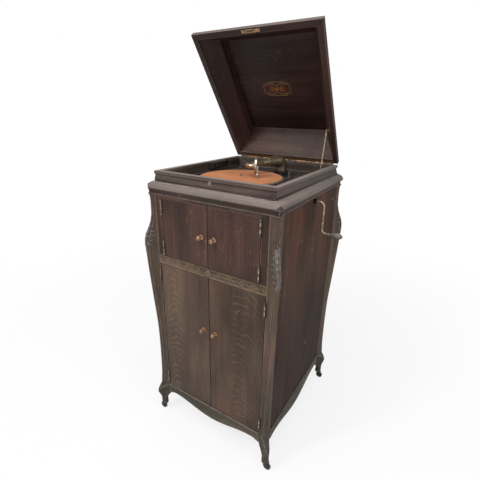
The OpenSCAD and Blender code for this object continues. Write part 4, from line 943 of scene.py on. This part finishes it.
def cornice_moulding():
    """Cavetto, round nose and a broad slope up to the rim, as points out and up."""
    inner = -(SIDE_X - WELL_X)
    ledge = inner - 15
    section = [(ledge, CASE_TOP), (-2, CASE_TOP), (0, CASE_TOP + 0.2), (0.3, 1024.5)]
    section += [(0.9, 1027.4), (2.4, 1029.6), (4.9, 1031.0), (7.6, 1031.6), (8.2, 1032.2)]
    section += arc(8.3, 1035.6, 3.7, -68, 62, 8)
    section += [(9.4, 1039.5), (8.6, 1040.6), (5.6, 1043.8), (2.2, 1046.9), (-1.4, 1050.0)]
    section += [(-4.9, 1052.6), (-6.9, 1053.2), (-7.4, 1054.0), (-7.6, CORNICE_TOP)]
    return section + [(inner, CORNICE_TOP), (inner, BOARD_Z), (ledge, BOARD_Z)]


def rim_moulding():
    """A cove that spreads to the cornice, a neck, and two beads round the top."""
    inner = -(RIM_X - WELL_X)
    section = [(inner, CORNICE_TOP), (9.4, CORNICE_TOP), (9.5, 1056.3), (6.9, 1057.6)]
    section += [(4.4, 1059.6), (2.2, 1062.1), (0.3, 1065.2), (-1.1, 1068.8), (-2.0, 1072.8)]
    section += [(-2.5, 1077.4), (-2.3, 1079.2), (-1.7, 1080.3), (-0.8, 1080.9)]
    section += arc(-0.6, 1083.4, 2.5, -80, 74, 8)
    section += [(-0.3, 1086.2)]
    section += arc(-1.2, 1088.9, 2.7, -60, 90, 8)
    return section + [(-3.4, 1091.4), (-4.2, 1091.6), (inner + 1, 1091.6), (inner, 1090.8)]


shape = bmesh.new()
stations = round_case(SIDE_X, FACE_Y, cornice_moulding(), CORNICE_CANT, CANT_REACH)
sweep(shape, stations, closed=True)
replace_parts(piece("cornice_moulding", shape, wood["cornice"], "cabinet", 28), "cornice")
shape = bmesh.new()
sweep(shape, round_case(RIM_X, RIM_Y, rim_moulding()), closed=True)
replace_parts(piece("rim_moulding", shape, wood["rim"], "cabinet", 28), "top_rim")

# ---- carved rail

RAIL_MIDDLE = sum(RAIL_Z) / 2
SCROLLS = 7  # on each side of the rail's middle
SCROLL_X = 30  # the first of them
SCROLL_STEP = 29
SCROLL_LIFT = 2.2  # above and below the middle by turns
SCROLL_R = 8.2
SCROLL_TURNS = 1.35
BEAD_ENDS = (-221, -110, 0, 110, 221)
BEAD_IN = 1.6  # from the rail's foot and top


def scroll(x, z, hand):
    """A flat spiral on the front of the rail."""
    run = []
    for s in shares(25):
        r = SCROLL_R * (0.16 + 0.84 * s)
        a = hand * (0.4 + SCROLL_TURNS * math.tau * (1 - s)) + (0 if hand > 0 else math.pi)
        spot = place(x + r * math.cos(a), -FACE_Y - 0.6, z + 0.72 * r * math.sin(a))
        run.append((spot, MM * (0.9 + 0.6 * s)))
    return run


def rail_leaf(x, side, up, leaf):
    """One of the three leaves that trail from a scroll."""
    run = []
    for s in shares(8):
        spread = (9 + 5 * s - 3 * leaf) * s
        leaf_x = x + side * (8 + 13 * s)
        leaf_z = RAIL_MIDDLE + SCROLL_LIFT * up + up * (spread - 6 - 2 * leaf) * (0.9 - 0.5 * s)
        run.append((place(leaf_x, -FACE_Y - 0.5, leaf_z), MM * 1.5 * taper(s)))
    return run


rail_runs = []
for side in (-1, 1):
    for number in range(SCROLLS):
        x = side * (SCROLL_X + SCROLL_STEP * number)
        up = 1 if number % 2 else -1
        rail_runs.append(scroll(x, RAIL_MIDDLE + SCROLL_LIFT * up, side * up))
        rail_runs += [rail_leaf(x, side, up, leaf) for leaf in range(3)]
strokes("rail_carving", rail_runs, wood["rail_carving"], "cabinet", rounds=2)

beads = [
    [(place(x, -FACE_Y - 0.2, z), MM * 1.15) for x in BEAD_ENDS]
    for z in (RAIL_Z[0] + BEAD_IN, RAIL_Z[1] - BEAD_IN)
]
strokes("rail_beads", beads, wood["rail_bead"], "cabinet")


def rosette(shape, middle, radius):
    """Six round petals about a domed button, facing the front."""
    for number in range(7):
        button = number == 6
        a = math.radians(60 * number)
        out = 0 if button else radius * 0.62
        spot = middle + Vector((out * math.cos(a), 0, out * math.sin(a)))
        squash = Matrix.Diagonal((1, 0.6 if button else 0.38, 1, 1))
        bmesh.ops.create_uvsphere(
            shape, u_segments=16, v_segments=10, radius=radius * 0.38,
            matrix=Matrix.Translation(spot) @ squash,
        )


shape = bmesh.new()
rosette(shape, place(0, -FACE_Y - 1.4, RAIL_MIDDLE + 2), 9 * MM)
piece("rail_rosette", shape, pale_brass, "cabinet", 60)

# ---- lid ornament and strike plate

ORNAMENT = (-15, 5)  # middle of the ornament under the closed lid
ORNAMENT_HALF = (58, 29)
PANEL_UNDER = 1196.4  # underside of the closed lid's panel
LOZENGE = ((0, 12), (8, 0), (0, -12), (-8, 0), (0, 12))
STRIKE = (0, -RIM_Y + 9.5, 1092.5)  # slot of the closed lid's strike plate
STRIKE_SLOT = (25.4, 3.6, 0.2)


def on_panel(u, v):
    """A point of the ornament, u to the right and v to the front of its middle."""
    return from_closed_lid(place(ORNAMENT[0] + u, ORNAMENT[1] - v, PANEL_UNDER))


def ribbon(points, half_width):
    """A painted stroke, thinning to its end."""
    steps = shares(len(points) - 1)
    return [(on_panel(u, v), MM * half_width * taper(s)) for (u, v), s in zip(points, steps)]


def cartouche(grow, half_width):
    """A frame whose long sides bow out and whose corners are notched."""
    half_u, half_v = (size * grow for size in ORNAMENT_HALF)
    points = []
    for i in range(97):
        a = math.tau * i / 96
        u, v = math.cos(a), math.sin(a)
        square = (abs(u) ** 5 + abs(v) ** 5) ** -0.2
        notch = 1 - 0.13 * math.cos(4 * a - math.pi) ** 8 * (math.cos(4 * a) < 0)
        points.append((half_u * u * square * notch, half_v * v * square * notch))
    return [(on_panel(u, v), MM * half_width) for u, v in points]


def leaf_spray(hand, lift):
    """One leaf of the five that fan out to a side."""
    reach = 34 - 4 * abs(lift)
    return [(hand * (10 + reach * s), lift * (2.2 + 6.4 * math.sin(1.35 * s))) for s in shares(13)]


def vine(hand, lift):
    """A waved line over or under the leaves of a side."""
    return [(hand * 48 * s, lift * (19 - 3.5 * math.cos(math.tau * s))) for s in shares(23)]


gilt_runs = [cartouche(1.0, 0.6), cartouche(0.9, 0.35)]
red_runs = []
for hand in (-1, 1):
    red_runs += [ribbon(leaf_spray(hand, lift), 1.9) for lift in (-2, -1, 0, 1, 2)]
    gilt_runs += [ribbon(vine(hand, lift), 0.9) for lift in (-1, 1)]
for size, half_width, runs in ((1, 0.9, gilt_runs), (0.62, 1.2, red_runs), (0.28, 1.3, gilt_runs)):
    runs.append([(on_panel(u * size, v * size), MM * half_width) for u, v in LOZENGE])
strokes("lid_ornament_gold", gilt_runs, gold_transfer, "lid", rounds=1)
strokes("lid_ornament_red", red_runs, red_transfer, "lid", rounds=1)

# A thin black sheet in the strike plate's slot: painted shade of the hollow behind it.
shape = bmesh.new()
strike_frame = Matrix.Translation(from_closed_lid(place(*STRIKE)))
strike_frame @= Matrix.Rotation(-LID_ANGLE, 4, "X")
slot_size = Matrix.Diagonal((*(length * MM for length in STRIKE_SLOT), 1))
bmesh.ops.create_cube(shape, size=1.0, matrix=strike_frame @ slot_size)
piece("strike_slot_shade", shape, black_iron, "lid")

# ---- soundbox

ARM_PIVOT = (45, 150)
ARM_TURN = -99.6  # degrees from x
ARM_Z = 1108
NECK_END = (200, 20)  # from the pivot, along the arm and across it
BOX_TURN = 32  # degrees from the arm
BOX_SEAT = (20, 5)  # middle of the soundbox, from the neck's end
BOX_FACE = 10  # the diaphragm's height over the soundbox's back
MICA_R = 24.6
GASKET_R = 25.0
BOX_SCREWS = (150, 270, 20)  # degrees round the face
BOX_SCREWS_R = 28
BOX_RIM = 13


def soundbox_place():
    """The frame of the soundbox, its own Z out of its face."""
    arm = Matrix.Translation(place(*ARM_PIVOT, ARM_Z))
    arm @= Matrix.Rotation(math.radians(ARM_TURN), 4, "Z")
    neck = Matrix.Translation(Vector((*NECK_END, 0)) * MM)
    neck @= Matrix.Rotation(math.radians(BOX_TURN), 4, "Z")
    seat = Matrix.Translation(Vector((*BOX_SEAT, 0)) * MM)
    return arm @ neck @ seat @ Matrix.Rotation(-math.pi / 2, 4, "X")


def turned(profile, frame_matrix):
    """Spin a profile of radius and height about the frame's own Z."""
    made = bmesh.new()
    lathe(made, [Vector((r, 0, z)) * MM for r, z in profile], (0, 0, 0), 48)
    bmesh.ops.transform(made, matrix=frame_matrix, verts=made.verts)
    return made


box_frame = soundbox_place()
low, high = BOX_FACE - 0.2, BOX_FACE + 0.3
shape = turned([(0.4, low), (MICA_R, low), (MICA_R, high), (0.4, high)], box_frame)
piece("soundbox_mica", shape, clear_mica, "reproducer")
shape = turned(arc(GASKET_R, BOX_FACE + 0.5, 0.95, 0, 330, 11), box_frame)
piece("soundbox_gasket", shape, caster_rubber, "reproducer", smooth=60)
face_out = (box_frame.to_3x3() @ Vector((0, 0, 1))).normalized()
box_spots = [
    box_frame @ (Vector((BOX_SCREWS_R * math.cos(a), BOX_SCREWS_R * math.sin(a), BOX_RIM)) * MM)
    for a in map(math.radians, BOX_SCREWS)
]
screws("soundbox_screws", box_spots, face_out, 1.6 * MM, brass, "reproducer")

# ---- felt

FELT_HOLE_R = 4.0
FELT_ROWS = 40
FELT_ROUND = 2.2  # width of the rounded rim


def felt_mat():
    """The turntable's felt: a soft disc with a rounded rim and a slightly uneven top."""
    shape = bmesh.new()
    profile = []
    for s in shares(FELT_ROWS):
        r = FELT_HOLE_R + (FELT_R - FELT_HOLE_R) * s
        lift = 0.12 * math.sin(r * 0.55) + 0.1 * math.sin(r * 0.21 + 1)
        droop = 0.9 * max(0, (r - FELT_R + FELT_ROUND) / FELT_ROUND) ** 2
        profile.append((r, FELT_TOP - 0.35 + lift - droop))
    profile += [(FELT_R, FELT_TOP - 1.9), (FELT_HOLE_R, FELT_TOP - 1.95)]
    middle = place(0, SPINDLE_Y, FELT_TOP)
    lathe(shape, [place(r, SPINDLE_Y, z) for r, z in profile], middle, 120)
    for vertex in shape.verts:
        flat = vertex.co - middle
        a = math.atan2(flat.y, flat.x)
        r = math.hypot(flat.x, flat.y) / MM
        if flat.z > -1.2 * MM and r < FELT_R - 3:
            vertex.co.z += 0.1 * MM * math.sin(3 * a + r * 0.09) * math.sin(5 * a - r * 0.05)
    return shape


felt_disc = piece("turntable_felt", felt_mat(), felt, "turntable", 60)
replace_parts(felt_disc, "felt")

# ---- screws of the motor board

UP = Vector((0, 0, 1))
board_spots = [place(x, y, BOARD_TOP) for x in (-205, 205) for y in (-236, 236)]
board_spots += [place(x, y, BOARD_TOP) for x in (-70, 70) for y in (-236, 130)]
screws("motor_board_screws", board_spots, UP, 4.2 * MM, nickel, "cabinet")

# ---- floor, light and camera

FLOOR_HALF = 14  # metres
FLOOR_GREYS = (0.8, 0.8, 0.8), (0.84, 0.84, 0.84)
FLOOR_GLOW = 0.8  # share of plain white that the camera sees under the cabinet
WORLD_COLOUR = (0.93, 0.96, 1.0, 1)
WORLD_LIGHT = 0.46
WHITE = (1, 1, 1)
WARM_WHITE = (1.0, 0.99, 0.97)
LIGHTS = (  # name, place and width in metres, watts, colour
    ("sky_panel", (0.2, -0.8, 3.6), 2.6, 64, WARM_WHITE),
    ("key_lamp", (-1.0, -2.2, 3.4), 0.45, 50, WARM_WHITE),
    ("front_panel", (0.2, -3.6, 1.3), 2.4, 14, WHITE),
    ("side_panel", (3.2, -0.6, 1.9), 2.0, 26, WHITE),
)
LIGHTS_AIM = Vector((0, 0, 0.8))
CAMERA = place(634.88, -1098.62, 1286.01)
CAMERA_TURN = Quaternion((0.7945847, 0.5396046, 0.1496157, 0.2346853))


def stage_floor():
    """Pale floor, nearly white to the camera, that still takes the shadow."""
    shape = bmesh.new()
    bmesh.ops.create_grid(shape, x_segments=8, y_segments=8, size=FLOOR_HALF)
    mesh = mesh_of("floor", shape)
    linked("floor", mesh)
    paint = Paint("pale_floor")
    colour = paint.mix(paint.noise(paint.here(), 3, 3), *FLOOR_GREYS)
    matt = paint.node("ShaderNodeBsdfDiffuse", {}, {"Color": colour})
    glow = paint.node("ShaderNodeEmission", {}, {"Color": (*WHITE, 1), "Strength": 1.0})
    seen = paint.node("ShaderNodeLightPath", output="Is Camera Ray")
    away = paint.node("ShaderNodeVectorMath", {"operation": "LENGTH"}, {0: paint.here()}, "Value")
    share = seen * (FLOOR_GLOW + (1 - FLOOR_GLOW) * away.between(0.6, 2.6))
    blend = paint.node("ShaderNodeMixShader", {}, {0: share, 1: matt, 2: glow})
    paint.end_in("ShaderNodeOutputMaterial", blend)
    mesh.materials.append(paint.material)


def soft_world():
    """Even studio light, seen as plain white by the camera and through clear things."""
    world = bpy.data.worlds.new("studio")
    bpy.context.scene.world = world
    world.use_nodes = True
    sky = Nodes(world.node_tree)
    seen = sky.node("ShaderNodeLightPath", output="Is Camera Ray")
    seen = seen.or_more(sky.node("ShaderNodeLightPath", output="Is Transmission Ray"))
    soft = sky.node("ShaderNodeBackground", {}, {"Color": WORLD_COLOUR, "Strength": WORLD_LIGHT})
    white = sky.node("ShaderNodeBackground", {}, {"Color": (*WHITE, 1), "Strength": 1.0})
    blend = sky.node("ShaderNodeMixShader", {}, {0: seen, 1: soft, 2: white})
    sky.end_in("ShaderNodeOutputWorld", blend)


stage_floor()
soft_world()
for name, spot, size, power, colour in LIGHTS:
    light = bpy.data.lights.new(name, "AREA")
    light.shape = "DISK"
    light.size = size
    light.energy = power
    light.color = colour
    lamp = linked(name, light)
    lamp.location = spot
    lamp.rotation_euler = (LIGHTS_AIM - Vector(spot)).to_track_quat("-Z", "Y").to_euler()

camera_data = bpy.data.cameras.new("camera")
camera_data.lens = 25.0
camera_data.sensor_width = 36.0
camera_data.shift_y = 0.011
camera_data.clip_end = 60
camera = linked("camera", camera_data)
camera.location = CAMERA
camera.rotation_mode = "QUATERNION"
camera.rotation_quaternion = CAMERA_TURN
bpy.context.scene.camera = camera
bpy.context.scene.view_settings.view_transform = "Standard"
